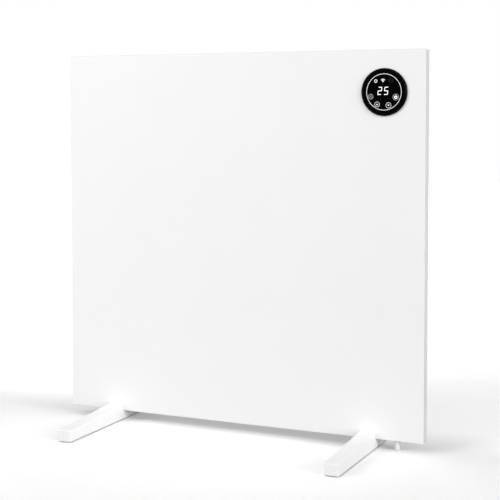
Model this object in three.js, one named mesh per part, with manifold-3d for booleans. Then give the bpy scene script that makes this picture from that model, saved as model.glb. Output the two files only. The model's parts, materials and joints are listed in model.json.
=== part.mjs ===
// Infrared panel heater: a flat sheet-steel panel that stands on two tapered feet, with a round
// touch display in its upper right corner and its electronics in a box on the back.
// Millimetres, +Z up, X across the panel, the front towards -Y.
// The origin is on the floor, under the middle of the panel.

import * as THREE from "three";
import { mergeVertices } from "three/addons/utils/BufferGeometryUtils.js";
import Module from "manifold-3d";

const wasm = await Module();
wasm.setup();

// ---------- sizes ----------

const seat = 0.3; // gap between two pieces that lie on each other
const play = 0.3; // gap round a screw, pin or shaft in its hole

// panel
const panelWidth = 600;
const panelHeight = 576;
const panelDepth = 18;
const floorGap = 15; // from the floor to the panel's lower edge
const sheet = 1.2; // front sheet and its folded edges
const edgeRound = 0.9; // rounding of the front edges
const lipWidth = 12; // rim folded inwards, which the back cover is screwed to
const coverSheet = 0.8;
const coverInset = 1.3; // how deep the back cover lies inside the rim
const fieldRise = 1.1; // pressed field that stiffens the back cover
const fieldMargin = 48;
const fieldSlope = 5;
const coverScrewRadius = 1.5;
const coverScrewLength = 5;
const coverHeadRadius = 3;
const coverHeadHeight = 1.6;

// layers behind the front sheet
const filmThickness = 1;
const filmMargin = 12; // bare rim between the film and the folded edge
const busbarWidth = 10;
const busbarTab = 9; // the end of a busbar that stands past the foil, for its lead
const foilThickness = 0.4;
const boardPlay = 0.5; // between the insulation board and the lip
const cornerClear = 12; // free space round the display in the layers

// feet
const footInset = 85; // from the panel's side edge to the middle of a foot
const footReach = 158; // in front of the panel, and the same behind it
const footWidth = 23.5; // at the panel
const footTipWidth = 21;
const footHeight = 26; // from the floor, at the panel
const footTipHeight = 18.5;
const footEdge = 1;
const footWall = 3;
const footCore = 14; // solid length between the slot and the hollows under the foot
const footRib = 3;
const padLength = 34;
const padWidth = 16;
const padThickness = 2.5;
const padProud = 1.5;
const padInset = 10; // from the foot's tip
const footScrewRadius = 2;
const footHeadRadius = 3.5;
const footHeadHeight = 2.6;
const footHeadDepth = 2; // how deep the head lies in the underside
const footScrewSpread = 11.2;
const footPlateLength = 44;
const footPlateWidth = 10;
const footPlateThickness = 3;

// tip-over switch
const tipInset = 42.5; // from the panel's right edge
const tipRadius = 4;
const tipTravel = 5;
const tipStubLength = 26;
const tipFlangeLength = 14;
const tipFlangeThickness = 2;
const tipStemRadius = 2;
const tipStemLength = 16;
const guideWidth = 20;
const guideHeight = 26;
const guideRoof = 2;
const guideEar = 2.5;
const springWire = 0.8;
const springRadius = 3; // at the middle of the wire
const springTurns = 7;
const microWidth = 20;
const microDepth = 6.4;
const microHeight = 10;
const microButton = 1;

// display
const displayInset = 62; // from the panel's right and upper edges
const displayRadius = 35;
const displayProud = 2.8;
const displayChamfer = 0.8;
const glassRadius = 33.2;
const glassThickness = 1.2;
const glassSunk = 0.1;
const cupRadius = 30.7;
const cupWall = 2;
const cupDepth = 9;
const cupMouth = 14; // radius of the ribbon's hole
const displayBoardThickness = 1.6;
const displayRoom = 3.6; // between the glass and the display board
const digitWidth = 24;
const digitHeight = 14;
const digitOffset = [-2.5, 1.4];
const touchRadius = 3;
const touchPlaces = {
  left: [-20.6, -7.2],
  right: [17.4, -8],
  up: [-11.4, -18.8],
  down: [6.1, -19.8],
};
const ribbonWidth = 12;
const ribbonThickness = 0.8;

// control box on the back
const boxWidth = 96;
const boxHeight = 136;
const boxDepth = 24;
const boxWall = 2;
const boxCorner = 6;
const boxShiftX = -6; // from the display's middle
const boxShiftZ = -29;
const boxPostRadius = 4;
const boxPostInset = 8;
const boxScrewRadius = 1.5;
const boxHeadRadius = 3;
const boxHeadHeight = 1.8;
const windowRadius = 24; // hole in the back cover for ribbon and leads
const ventCount = 6;
const ventPitch = 6;
const ventLength = 48;
const ventWidth = 2.5;
const ventBottom = 20; // lowest slot, above the box's middle
const powerBoardWidth = 68;
const powerBoardHeight = 108;
const powerBoardThickness = 1.6;
const powerBoardLift = 3.5; // from the back cover
const powerPinInset = 5;
const powerPinRadius = 1.3;
const powerPostRadius = 2.5;

// pieces on the power board: [x, z] from its middle, then width, height, how far they stand out
const relaySize = { at: [-20, 32], width: 19, height: 15.5, depth: 15 };
const transformerSize = { at: [12, 30], width: 28, height: 24, depth: 15 };
const capacitorSize = { at: [-20, 6], width: 18, height: 8, depth: 14 };
const radioSize = { at: [14, 4], width: 18, height: 24, depth: 3 };
const terminalSize = { at: [-26, -28], width: 10, height: 30, depth: 12 };
const sensorSize = { at: [-2, -50], width: 10, height: 4, depth: 4 };

// main switch in the box's back wall
const switchAt = [12, -34];
const switchFlange = [15, 21];
const switchFlangeThickness = 1.5;
const switchBody = [12.8, 19];
const switchBodyDepth = 12;
const switchPocket = [10.6, 18];
const rockerWidth = 10;
const rockerHalf = 8;
const rockerTilt = 8; // degrees to either side
const rockerEnd = 4.2; // how far the ends stand above the pivot
const rockerMiddle = 2.6;
const rockerSkirt = 2.5;
const rockerPivotDepth = 3.4; // from the flange's face to the pivot
const rockerPinRadius = 1;

// cord gland in the box's lower wall
const glandAt = [-22, 12]; // x from the box's middle, y from its mouth
const glandBore = 3.6;
const glandNeck = 6;
const glandCollar = 9;
const glandCollarThickness = 3;
const glandLength = 15;
const glandTip = 5.6;
const glandLip = 6.8;

// thermal cut-out and leads
const cutoutShift = [-88, 11]; // from the display's middle
const cutoutRadius = 8;
const cutoutHeight = 7.5;
const cutoutBlade = [3, 6];
const cutoutBladeSpread = 8;
const leadRadius = 1.3;
const leadBend = 6;

// ---------- places that follow from the sizes ----------

const frontY = -panelDepth / 2;
const backY = panelDepth / 2;
const panelTop = floorGap + panelHeight;
const innerHalf = panelWidth / 2 - sheet;
const innerBottom = floorGap + sheet;
const innerTop = panelTop - sheet;
const coverBackY = backY - coverInset;
const coverFrontY = coverBackY - coverSheet;
const lipBackY = coverFrontY - seat;
const lipFrontY = lipBackY - sheet;
const filmFrontY = frontY + sheet + seat;
const filmBackY = filmFrontY + filmThickness;
const foilFrontY = filmBackY + seat;
const foilBackY = foilFrontY + foilThickness;
const boardFrontY = foilBackY + seat;
const boardBackY = lipBackY;

const displayX = panelWidth / 2 - displayInset;
const displayZ = panelTop - displayInset;
const notchLeft = displayX - cupRadius - cornerClear;
const notchBottom = displayZ - cupRadius - cornerClear;
const filmHalf = innerHalf - filmMargin;
const filmBottom = innerBottom + filmMargin;
const filmTop = innerTop - filmMargin;
const tipX = panelWidth / 2 - tipInset;
const tipY = (boardFrontY + boardBackY) / 2;
const footX = panelWidth / 2 - footInset;
const boxX = displayX + boxShiftX;
const boxZ = displayZ + boxShiftZ;
const boxMouthY = coverBackY + seat;
const cutoutX = displayX + cutoutShift[0];
const cutoutZ = displayZ + cutoutShift[1];

const guideBottom = innerBottom + seat;
const guideTop = guideBottom + guideHeight;
const tipPocketTop = guideTop + guideEar + seat + microHeight + 1;

// ---------- materials ----------

function paint(color, roughness, metalness = 0) {
  return new THREE.MeshStandardMaterial({ color, roughness, metalness });
}
const whiteCoat = paint(0xf4f4f3, 0.45);
const whitePlastic = paint(0xf1f1ef, 0.4);
const coverCoat = paint(0xececea, 0.5);
const blackPlastic = paint(0x111112, 0.3);
const blackGlass = paint(0x050506, 0.08);
const rubber = paint(0x2b2b2c, 0.9);
const steel = paint(0xb9bbbd, 0.35, 1);
const copper = paint(0xc07a4a, 0.35, 1);
const brass = paint(0xc8a35a, 0.35, 1);
const foilMetal = paint(0xd5d7d9, 0.25, 1);
const filmCoat = paint(0x26262a, 0.6);
const wool = paint(0xe7dfc8, 0.95);
const circuitGreen = paint(0x1f5d3a, 0.5);
const moduleWhite = paint(0xdfe1e4, 0.5);
const relayBlue = paint(0x2a5da8, 0.45);
const transformerYellow = paint(0xd8b23c, 0.5);
const terminalGreen = paint(0x3f9a55, 0.45);
const leadSleeve = paint(0xc9b9a2, 0.7);
const ribbonGrey = paint(0xa9adb1, 0.6);
const foam = paint(0x3a3a3d, 0.95);

// ---------- shapes ----------

function solid(shape) {
  if (!shape.isBufferGeometry) return shape;
  const bare = shape.index ? shape.toNonIndexed() : shape.clone();
  bare.deleteAttribute("normal");
  bare.deleteAttribute("uv");
  const merged = mergeVertices(bare, 1e-4);
  return new wasm.Manifold(
    new wasm.Mesh({
      numProp: 3,
      vertProperties: merged.attributes.position.array,
      triVerts: new Uint32Array(merged.index.array),
    }),
  );
}

function join(...shapes) {
  return shapes.map(solid).reduce((whole, next) => whole.add(next));
}

function cut(body, ...tools) {
  return tools.map(solid).reduce((left, tool) => left.subtract(tool), solid(body));
}

function piece(name, shape, material, x = 0, y = 0, z = 0) {
  let geometry = shape;
  if (!shape.isBufferGeometry) {
    const mesh = shape.getMesh();
    geometry = new THREE.BufferGeometry();
    geometry.setAttribute("position", new THREE.BufferAttribute(mesh.vertProperties, 3));
    geometry.setIndex(new THREE.BufferAttribute(mesh.triVerts, 1));
    geometry.computeVertexNormals();
  }
  const mesh = new THREE.Mesh(geometry, material);
  mesh.name = name;
  mesh.position.set(x, y, z);
  return mesh;
}

function block(x0, x1, y0, y1, z0, z1) {
  const box = new THREE.BoxGeometry(x1 - x0, y1 - y0, z1 - z0);
  return box.translate((x0 + x1) / 2, (y0 + y1) / 2, (z0 + z1) / 2);
}

// A round bar along an axis, from one place on it to another, through the point (u, v) of the
// two other axes in X, Y, Z order.
function bar(axis, radius, from, to, u = 0, v = 0, sides = 20) {
  const rod = new THREE.CylinderGeometry(radius, radius, to - from, sides);
  const middle = (from + to) / 2;
  if (axis === "x") return rod.rotateZ(Math.PI / 2).translate(middle, u, v);
  if (axis === "z") return rod.rotateX(Math.PI / 2).translate(u, v, middle);
  return rod.translate(u, middle, v);
}

// A turned piece about Y, from [radius, y] points that go round its section.
function turned(profile, sides = 40) {
  const points = profile.map(([radius, y]) => new THREE.Vector2(radius, y));
  return new THREE.LatheGeometry(points, sides);
}

function outline(points) {
  return new THREE.Shape(points.map(([x, z]) => new THREE.Vector2(x, z)));
}

function roundedOutline(width, height, radius) {
  const x = width / 2;
  const y = height / 2;
  const shape = new THREE.Shape();
  shape.moveTo(x, -y + radius);
  shape.lineTo(x, y - radius);
  shape.absarc(x - radius, y - radius, radius, 0, Math.PI / 2);
  shape.lineTo(-x + radius, y);
  shape.absarc(-x + radius, y - radius, radius, Math.PI / 2, Math.PI);
  shape.lineTo(-x, -y + radius);
  shape.absarc(-x + radius, -y + radius, radius, Math.PI, 1.5 * Math.PI);
  shape.lineTo(x - radius, -y);
  shape.absarc(x - radius, -y + radius, radius, 1.5 * Math.PI, 2 * Math.PI);
  return shape;
}

// A plate in the X-Z plane, from y0 to y1.
function plate(shape, y0, y1) {
  const settings = { depth: y1 - y0, bevelEnabled: false, curveSegments: 5 };
  return new THREE.ExtrudeGeometry(shape, settings).rotateX(Math.PI / 2).translate(0, y1, 0);
}

// A closed body through sections across Y, each a ring of as many [x, z] points.
function loft(sections) {
  const count = sections[0].ring.length;
  const positions = sections.flatMap(({ y, ring }) => ring.flatMap(([x, z]) => [x, y, z]));
  const faces = [];
  for (let s = 0; s + 1 < sections.length; s++) {
    for (let i = 0; i < count; i++) {
      const a = s * count + i;
      const b = s * count + ((i + 1) % count);
      faces.push(a, b, b + count, a, b + count, a + count);
    }
  }
  const last = (sections.length - 1) * count;
  for (let i = 1; i + 1 < count; i++) {
    faces.push(0, i + 1, i);
    faces.push(last, last + i, last + i + 1);
  }
  const body = new THREE.BufferGeometry();
  body.setAttribute("position", new THREE.Float32BufferAttribute(positions, 3));
  body.setIndex(faces.reverse());
  return body;
}

function rectangleRing(halfX, z0, z1) {
  return [
    [-halfX, z0],
    [halfX, z0],
    [halfX, z1],
    [-halfX, z1],
  ];
}

// ---------- panel ----------

function coverScrewPlaces() {
  const x = innerHalf - lipWidth / 2;
  const places = [];
  for (const column of [-1, 0, 1]) {
    for (const row of [-1, 0, 1]) {
      if (column === 0 && row === 0) continue;
      const z = (innerBottom + innerTop) / 2 + row * (panelHeight / 2 - sheet - lipWidth / 2);
      places.push([column * x, z]);
    }
  }
  return places;
}

function footScrewPlaces() {
  return [-1, 1].flatMap((side) =>
    [-1, 1].map((way) => side * footX + (way * footScrewSpread) / 2),
  );
}

function boxPostPlaces() {
  const x = boxWidth / 2 - boxPostInset;
  const z = boxHeight / 2 - boxPostInset;
  return [
    [-x, -z],
    [x, -z],
    [x, z],
    [-x, z],
  ];
}

function frontPanel() {
  const halfWidth = panelWidth / 2;
  const softEdge = [0, 0.3, 1].map((share) => {
    const turn = (share * Math.PI) / 2;
    return {
      depth: edgeRound * (1 - Math.cos(turn)),
      inset: edgeRound * (1 - Math.sin(turn)),
    };
  });
  const sections = softEdge.map(({ depth, inset }) => ({
    y: frontY + depth,
    ring: rectangleRing(halfWidth - inset, floorGap + inset, panelTop - inset),
  }));
  sections.push({ y: backY, ring: rectangleRing(halfWidth, floorGap, panelTop) });
  const lipHalf = innerHalf - lipWidth;
  const tools = [
    block(-innerHalf, innerHalf, frontY + sheet, lipFrontY, innerBottom, innerTop),
    block(-innerHalf, innerHalf, lipBackY, backY + 1, innerBottom, innerTop),
    block(-lipHalf, lipHalf, 0, backY, innerBottom + lipWidth, innerTop - lipWidth),
    bar("y", cupRadius + play, frontY - 1, 0, displayX, displayZ, 40),
    bar("z", tipRadius + play, 0, innerBottom + 1, tipX, tipY, 24),
    block(
      tipX - guideWidth / 2 - boardPlay,
      tipX + guideWidth / 2 + boardPlay,
      lipFrontY - 1,
      backY,
      innerBottom,
      innerBottom + lipWidth + 1,
    ),
  ];
  for (const x of footScrewPlaces()) {
    tools.push(bar("z", footScrewRadius + play, 0, innerBottom + 1, x, 0, 16));
  }
  for (const [x, z] of coverScrewPlaces()) {
    tools.push(bar("y", coverScrewRadius + play, lipFrontY - 1, backY, x, z, 12));
  }
  return piece("front_panel", cut(loft(sections), ...tools), whiteCoat);
}

// The back cover is a plate with a raised field pressed into it, hollow from the inside.
function backCover() {
  const halfX = innerHalf - seat;
  const fieldHalf = halfX - fieldMargin;
  const fieldBottom = innerBottom + fieldMargin;
  const fieldTop = boxZ - boxHeight / 2 - glandLength - fieldMargin / 2;
  const field = (y0, y1) =>
    loft([
      { y: y0, ring: rectangleRing(fieldHalf, fieldBottom, fieldTop) },
      {
        y: y1,
        ring: rectangleRing(
          fieldHalf - fieldSlope,
          fieldBottom + fieldSlope,
          fieldTop - fieldSlope,
        ),
      },
    ]);
  const flat = block(
    -halfX,
    halfX,
    coverFrontY,
    coverBackY,
    innerBottom + seat,
    innerTop - seat,
  );
  const pressed = join(flat, field(coverBackY - coverSheet / 2, coverBackY + fieldRise));
  const tools = [
    field(coverFrontY - coverSheet / 2, coverFrontY + fieldRise),
    bar("y", windowRadius, coverFrontY - 1, coverBackY + 1, displayX, displayZ, 32),
  ];
  for (const [x, z] of coverScrewPlaces()) {
    tools.push(
      bar("y", coverScrewRadius + play, coverFrontY - 1, coverBackY + 1, x, z, 12),
    );
  }
  for (const [x, z] of boxPostPlaces()) {
    tools.push(
      bar("y", boxScrewRadius + play, coverFrontY - 1, coverBackY + 1, boxX + x, boxZ + z, 12),
    );
  }
  return piece("rear_cover", cut(pressed, ...tools), coverCoat);
}

// A pan-head screw whose head points back, with a six-sided socket.
function backScrew(name, radius, length, headRadius, headHeight, x, y, z) {
  const shape = turned(
    [
      [0, -length],
      [radius, -length],
      [radius, 0],
      [headRadius, 0],
      [headRadius, headHeight * 0.5],
      [headRadius * 0.72, headHeight],
      [0, headHeight],
    ],
    12,
  );
  const socket = bar("y", headRadius * 0.45, headHeight * 0.35, headHeight + 1, 0, 0, 6);
  return piece(name, cut(shape, socket), steel, x, y, z);
}

function coverScrews() {
  const length = coverScrewLength + seat;
  return coverScrewPlaces().map(([x, z], i) =>
    backScrew(
      `cover_screw_${i + 1}`,
      coverScrewRadius,
      length,
      coverHeadRadius,
      coverHeadHeight,
      x,
      coverBackY + seat,
      z,
    ),
  );
}

// ---------- layers behind the front sheet ----------

// The outline that film and foil share: a rectangle with the display's corner cut away.
function layerOutline(left, right) {
  return outline([
    [left, filmBottom],
    [right, filmBottom],
    [right, notchBottom],
    [notchLeft, notchBottom],
    [notchLeft, filmTop],
    [left, filmTop],
  ]);
}

function heatingFilm() {
  const half = filmHalf - busbarWidth - seat;
  return piece("heating_film", plate(layerOutline(-half, half), filmFrontY, filmBackY), filmCoat);
}

function busbar(name, side, top) {
  const outer = side * filmHalf;
  const inner = side * (filmHalf - busbarWidth);
  const left = Math.min(outer, inner);
  const right = Math.max(outer, inner);
  return piece(name, block(left, right, filmFrontY, filmBackY, filmBottom, top), copper);
}

function reflectorFoil() {
  const shape = plate(layerOutline(-filmHalf, filmHalf), foilFrontY, foilBackY);
  return piece("reflector_foil", shape, foilMetal);
}

function insulationBoard() {
  const half = innerHalf - lipWidth - boardPlay;
  const bottom = innerBottom + lipWidth + boardPlay;
  const top = innerTop - lipWidth - boardPlay;
  const shape = outline([
    [-half, bottom],
    [half, bottom],
    [half, notchBottom],
    [notchLeft, notchBottom],
    [notchLeft, top],
    [-half, top],
  ]);
  const wide = cutoutRadius + seat;
  const front = boardFrontY - 1;
  const back = boardBackY + 1;
  const guideHalf = guideWidth / 2 + boardPlay;
  const tools = [
    bar("y", wide, front, back, cutoutX, cutoutZ, 24),
    block(cutoutX - wide, cutoutX + wide, front, back, cutoutZ, top + 1),
    block(tipX - guideHalf, tipX + guideHalf, front, back, 0, tipPocketTop),
  ];
  for (const [x, z] of boxPostPlaces()) {
    tools.push(bar("y", boxScrewRadius * 2, front, back, boxX + x, boxZ + z, 12));
  }
  return piece(
    "insulation_board",
    cut(plate(shape, boardFrontY, boardBackY), ...tools),
    wool,
  );
}

// ---------- feet ----------

const footHalf = panelDepth / 2 + footReach;

// How far a foot has tapered at a distance from its middle, from 0 at the panel to 1 at the tip.
function footShare(y) {
  return Math.max(0, Math.abs(y) - panelDepth / 2) / footReach;
}

function footTop(y) {
  return footHeight + (footTipHeight - footHeight) * footShare(y);
}

function footRing(y, inset = 0) {
  const half = (footWidth + (footTipWidth - footWidth) * footShare(y)) / 2 - inset;
  const top = footTop(y) - inset;
  return [
    [-half, padProud],
    [half, padProud],
    [half, top - footEdge],
    [half - footEdge, top],
    [-half + footEdge, top],
    [-half, top - footEdge],
  ];
}

function padOutline(extra) {
  return roundedOutline(padWidth + 2 * extra, padLength + 2 * extra, padWidth / 2 + extra);
}

function upright(shape, z0, z1) {
  const settings = { depth: z1 - z0, bevelEnabled: false, curveSegments: 5 };
  return new THREE.ExtrudeGeometry(shape, settings).translate(0, 0, z0);
}

const padY = footHalf - padInset - padLength / 2;

function footBody(name) {
  const rings = [-1, 1].flatMap((way) => {
    const tip = { y: way * footHalf, ring: footRing(way * footHalf, footEdge) };
    const nearTip = way * (footHalf - footEdge);
    const atPanel = way * (panelDepth / 2);
    const run = [
      tip,
      { y: nearTip, ring: footRing(nearTip) },
      { y: atPanel, ring: footRing(atPanel) },
    ];
    return way < 0 ? run : run.reverse();
  });
  const slotHalf = panelDepth / 2 + seat;
  const tools = [
    block(-footWidth, footWidth, -slotHalf, slotHalf, floorGap - seat, footHeight + 1),
  ];
  const headTop = padProud + footHeadDepth + footHeadHeight + seat;
  for (const way of [-1, 1]) {
    const x = (way * footScrewSpread) / 2;
    tools.push(bar("z", footScrewRadius + play, 0, floorGap, x, 0, 16));
    tools.push(bar("z", footHeadRadius + play, 0, headTop, x, 0, 20));
    const recess = upright(padOutline(play), 0, padThickness + seat);
    tools.push(recess.translate(0, way * padY, 0));
    // two hollows under each arm, with a rib between them
    const start = panelDepth / 2 + footCore;
    const end = padY - padLength / 2 - play - footWall;
    const length = (end - start - footRib) / 2;
    const pocketHalf = footTipWidth / 2 - footWall;
    for (const from of [start, start + length + footRib]) {
      const far = from + length;
      const [y0, y1] = way < 0 ? [-far, -from] : [from, far];
      tools.push(block(-pocketHalf, pocketHalf, y0, y1, 0, footTop(far) - footWall));
    }
  }
  return piece(name, cut(loft(rings), ...tools), whitePlastic);
}

function footScrew(name, x) {
  const headBottom = padProud + footHeadDepth;
  const shankTop = innerBottom + seat + footPlateThickness + 1.5;
  const shape = join(
    bar("z", footHeadRadius, headBottom, headBottom + footHeadHeight, 0, 0, 20),
    bar("z", footScrewRadius, headBottom + footHeadHeight / 2, shankTop, 0, 0, 16),
  );
  const socket = bar("z", footHeadRadius * 0.5, 0, headBottom + footHeadHeight * 0.5, 0, 0, 6);
  return piece(name, cut(shape, socket), steel, x);
}

function footPlate(name) {
  const z0 = innerBottom + seat;
  const shape = roundedOutline(footPlateLength, footPlateWidth, 2);
  const holes = [-1, 1].map((way) =>
    bar("z", footScrewRadius + play, 0, z0 + 10, (way * footScrewSpread) / 2, 0, 16),
  );
  return piece(name, cut(upright(shape, z0, z0 + footPlateThickness), ...holes), steel);
}

function foot(side, label) {
  const group = new THREE.Group();
  group.position.x = side * footX;
  group.add(footBody(`foot_${label}`));
  group.add(footPlate(`foot_plate_${label}`));
  for (const way of [-1, 1]) {
    const turn = way < 0 ? "front" : "rear";
    const pad = upright(padOutline(0), 0, padThickness);
    group.add(piece(`foot_pad_${label}_${turn}`, pad, rubber, 0, way * padY));
    const screw = way < 0 ? "outer" : "inner";
    group.add(footScrew(`foot_screw_${label}_${screw}`, (-way * side * footScrewSpread) / 2));
  }
  return group;
}

// ---------- tip-over switch ----------

const guideHalfDepth = (boardBackY - boardFrontY) / 2;
const chamberBottom = tipStubLength - tipTravel - seat;
const chamberTop = guideTop - guideRoof;
const stemTop = tipStubLength + tipFlangeThickness + tipStemLength;

function tipPlunger() {
  const flange = block(
    -tipFlangeLength / 2,
    tipFlangeLength / 2,
    -tipRadius + seat / 2,
    tipRadius - seat / 2,
    tipStubLength,
    tipStubLength + tipFlangeThickness,
  );
  const chamfer = 0.6;
  const stub = turned(
    [
      [0, 0],
      [tipRadius - chamfer, 0],
      [tipRadius, chamfer],
      [tipRadius, tipStubLength + tipFlangeThickness / 2],
      [0, tipStubLength + tipFlangeThickness / 2],
    ],
    28,
  ).rotateX(Math.PI / 2);
  const stem = bar("z", tipStemRadius, tipStubLength, stemTop, 0, 0, 16);
  return piece("tip_plunger", join(stub, flange, stem), whitePlastic);
}

function tipGuide() {
  const half = guideWidth / 2;
  const body = block(-half, half, -guideHalfDepth, guideHalfDepth, guideBottom, guideTop);
  const ear = (way) => {
    const [x0, x1] = way < 0 ? [-half, -half + guideEar] : [half - guideEar, half];
    return block(x0, x1, -microDepth / 2, microDepth / 2, guideTop - 1, guideTop + guideEar);
  };
  const chamberHalf = tipFlangeLength / 2 + play;
  const chamber = block(
    -chamberHalf,
    chamberHalf,
    -tipRadius - play,
    guideHalfDepth + 1,
    chamberBottom,
    chamberTop,
  );
  const neck = bar("z", tipRadius + play, 0, chamberBottom + 1, 0, 0, 28);
  const stemHole = bar("z", tipStemRadius + play, chamberTop - 1, guideTop + 1, 0, 0, 16);
  const shape = cut(join(body, ear(-1), ear(1)), chamber, neck, stemHole);
  return piece("tip_guide", shape, blackPlastic);
}

class Coil extends THREE.Curve {
  constructor(radius, turns, bottom, top) {
    super();
    this.radius = radius;
    this.turns = turns;
    this.bottom = bottom;
    this.rise = top - bottom;
  }

  getPoint(t) {
    const turn = 2 * Math.PI * this.turns * t;
    const z = this.bottom + this.rise * t;
    return new THREE.Vector3(this.radius * Math.cos(turn), this.radius * Math.sin(turn), z);
  }
}

function wireSection(radius, sides) {
  const corners = [];
  for (let i = 0; i < sides; i++) {
    const turn = (2 * Math.PI * i) / sides;
    corners.push([radius * Math.cos(turn), radius * Math.sin(turn)]);
  }
  return outline(corners);
}

function tipSpring() {
  const bottom = tipStubLength + tipFlangeThickness + seat + springWire / 2;
  const top = chamberTop - seat - springWire / 2;
  const path = new Coil(springRadius, springTurns, bottom, top);
  const settings = { steps: springTurns * 8, bevelEnabled: false, extrudePath: path };
  const shape = new THREE.ExtrudeGeometry(wireSection(springWire / 2, 5), settings);
  return piece("tip_spring", shape, steel);
}

function tipMicroswitch() {
  const bottom = guideTop + guideEar + seat;
  const half = microWidth / 2;
  const body = block(-half, half, -microDepth / 2, microDepth / 2, bottom, bottom + microHeight);
  const button = bar("z", microButton, stemTop + seat, bottom + 1, 0, 0, 12);
  const blade = (x) =>
    block(x - 1.5, x + 1.5, -0.4, 0.4, bottom + microHeight - 1, bottom + microHeight + 0.8);
  const shape = join(body, button, blade(-half / 2), blade(half / 2));
  return piece("tip_microswitch", shape, blackPlastic);
}

function tipSwitch() {
  const group = new THREE.Group();
  group.position.set(tipX, tipY, 0);
  group.add(tipPlunger(), tipGuide(), tipSpring(), tipMicroswitch());
  return group;
}

// ---------- display ----------

const glassFront = -displayProud + glassSunk;
const glassBack = glassFront + glassThickness;
const displayBoardFront = glassBack + seat + displayRoom + seat;
const displayBoardBack = displayBoardFront + displayBoardThickness;

function displayBezel() {
  const bore = cupRadius - cupWall;
  const shape = turned([
    [bore, glassBack + seat],
    [glassRadius + seat, glassBack + seat],
    [glassRadius + seat, -displayProud],
    [displayRadius - displayChamfer, -displayProud],
    [displayRadius, -displayProud + displayChamfer],
    [displayRadius, -seat],
    [cupRadius, -seat],
    [cupRadius, cupDepth],
    [cupMouth, cupDepth],
    [cupMouth, cupDepth - cupWall],
    [bore - cupWall, cupDepth - cupWall],
    [bore - cupWall, displayBoardBack + seat],
    [bore, displayBoardBack + seat],
    [bore, glassBack + seat],
  ]);
  return piece("display_bezel", shape, blackPlastic);
}

function displayGlass() {
  const rim = 0.3;
  const shape = turned([
    [0, glassFront],
    [glassRadius - rim, glassFront],
    [glassRadius, glassFront + rim],
    [glassRadius, glassBack],
    [0, glassBack],
  ]);
  return piece("display_glass", shape, blackGlass);
}

function displayBoard() {
  const radius = cupRadius - cupWall - seat;
  const shape = bar("y", radius, displayBoardFront, displayBoardBack, 0, 0, 32);
  return piece("display_board", shape, circuitGreen);
}

function digitModule() {
  const [x, z] = digitOffset;
  const shape = block(
    x - digitWidth / 2,
    x + digitWidth / 2,
    glassBack + seat,
    displayBoardFront - seat,
    z - digitHeight / 2,
    z + digitHeight / 2,
  );
  return piece("digit_module", shape, moduleWhite);
}

function touchPads() {
  return Object.entries(touchPlaces).map(([label, [x, z]]) => {
    const shape = bar("y", touchRadius, glassBack + seat, displayBoardFront - seat, 0, 0, 12);
    return piece(`touch_pad_${label}`, shape, foam, x, 0, z);
  });
}

function displayRibbon() {
  const start = displayBoardBack + seat;
  const end = boxMouthY + powerBoardLift - seat - frontY;
  const half = ribbonWidth / 2;
  const thin = ribbonThickness / 2;
  return piece("display_ribbon", block(-half, half, start, end, -thin, thin), ribbonGrey);
}

function display() {
  const group = new THREE.Group();
  group.position.set(displayX, frontY, displayZ);
  group.add(displayBezel(), displayGlass(), displayBoard(), digitModule(), displayRibbon());
  group.add(...touchPads());
  return group;
}

// ---------- control box ----------

const powerBoardBack = powerBoardLift + powerBoardThickness;
const powerPinPlaces = [-1, 1].flatMap((column) =>
  [-1, 1].map((row) => [
    column * (powerBoardWidth / 2 - powerPinInset),
    row * (powerBoardHeight / 2 - powerPinInset),
  ]),
);

function controlBox() {
  const shell = plate(roundedOutline(boxWidth, boxHeight, boxCorner), 0, boxDepth);
  const inside = roundedOutline(
    boxWidth - 2 * boxWall,
    boxHeight - 2 * boxWall,
    boxCorner - boxWall,
  );
  const hollow = cut(shell, plate(inside, -1, boxDepth - boxWall));
  const innerBack = boxDepth - boxWall;
  const bosses = boxPostPlaces().map(([x, z]) =>
    bar("y", boxPostRadius, 0, innerBack + boxWall / 2, x, z, 16),
  );
  for (const [x, z] of powerPinPlaces) {
    bosses.push(bar("y", powerPostRadius, powerBoardBack + seat, innerBack + 1, x, z, 12));
    bosses.push(bar("y", powerPinRadius, powerBoardLift - 0.5, innerBack, x, z, 12));
  }
  const tools = boxPostPlaces().map(([x, z]) =>
    bar("y", boxScrewRadius + play, -1, boxDepth + 1, x, z, 12),
  );
  for (let i = 0; i < ventCount; i++) {
    const z = ventBottom + i * ventPitch;
    tools.push(
      block(-ventLength / 2, ventLength / 2, innerBack - 1, boxDepth + 1, z, z + ventWidth),
    );
  }
  const [switchX, switchZ] = switchAt;
  const halfX = switchBody[0] / 2 + play;
  const halfZ = switchBody[1] / 2 + play;
  tools.push(
    block(
      switchX - halfX,
      switchX + halfX,
      innerBack - 1,
      boxDepth + 1,
      switchZ - halfZ,
      switchZ + halfZ,
    ),
  );
  const [glandX, glandY] = glandAt;
  const bottom = -boxHeight / 2;
  tools.push(bar("z", glandNeck + play, bottom - 1, bottom + boxWall + 1, glandX, glandY, 24));
  return piece("control_box", cut(join(hollow, ...bosses), ...tools), whitePlastic);
}

function boxScrews() {
  const length = boxDepth + seat + seat + coverSheet + 2;
  return boxPostPlaces().map(([x, z], i) =>
    backScrew(
      `box_screw_${i + 1}`,
      boxScrewRadius,
      length,
      boxHeadRadius,
      boxHeadHeight,
      x,
      boxDepth + seat,
      z,
    ),
  );
}

function controlBoard() {
  const shape = block(
    -powerBoardWidth / 2,
    powerBoardWidth / 2,
    powerBoardLift,
    powerBoardBack,
    -powerBoardHeight / 2,
    powerBoardHeight / 2,
  );
  const holes = powerPinPlaces.map(([x, z]) =>
    bar("y", powerPinRadius + play, 0, boxDepth, x, z, 12),
  );
  return piece("control_board", cut(shape, ...holes), circuitGreen);
}

function boardBlock({ at: [x, z], width, height, depth }) {
  const start = powerBoardBack + seat;
  return block(
    x - width / 2,
    x + width / 2,
    start,
    start + depth,
    z - height / 2,
    z + height / 2,
  );
}

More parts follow.
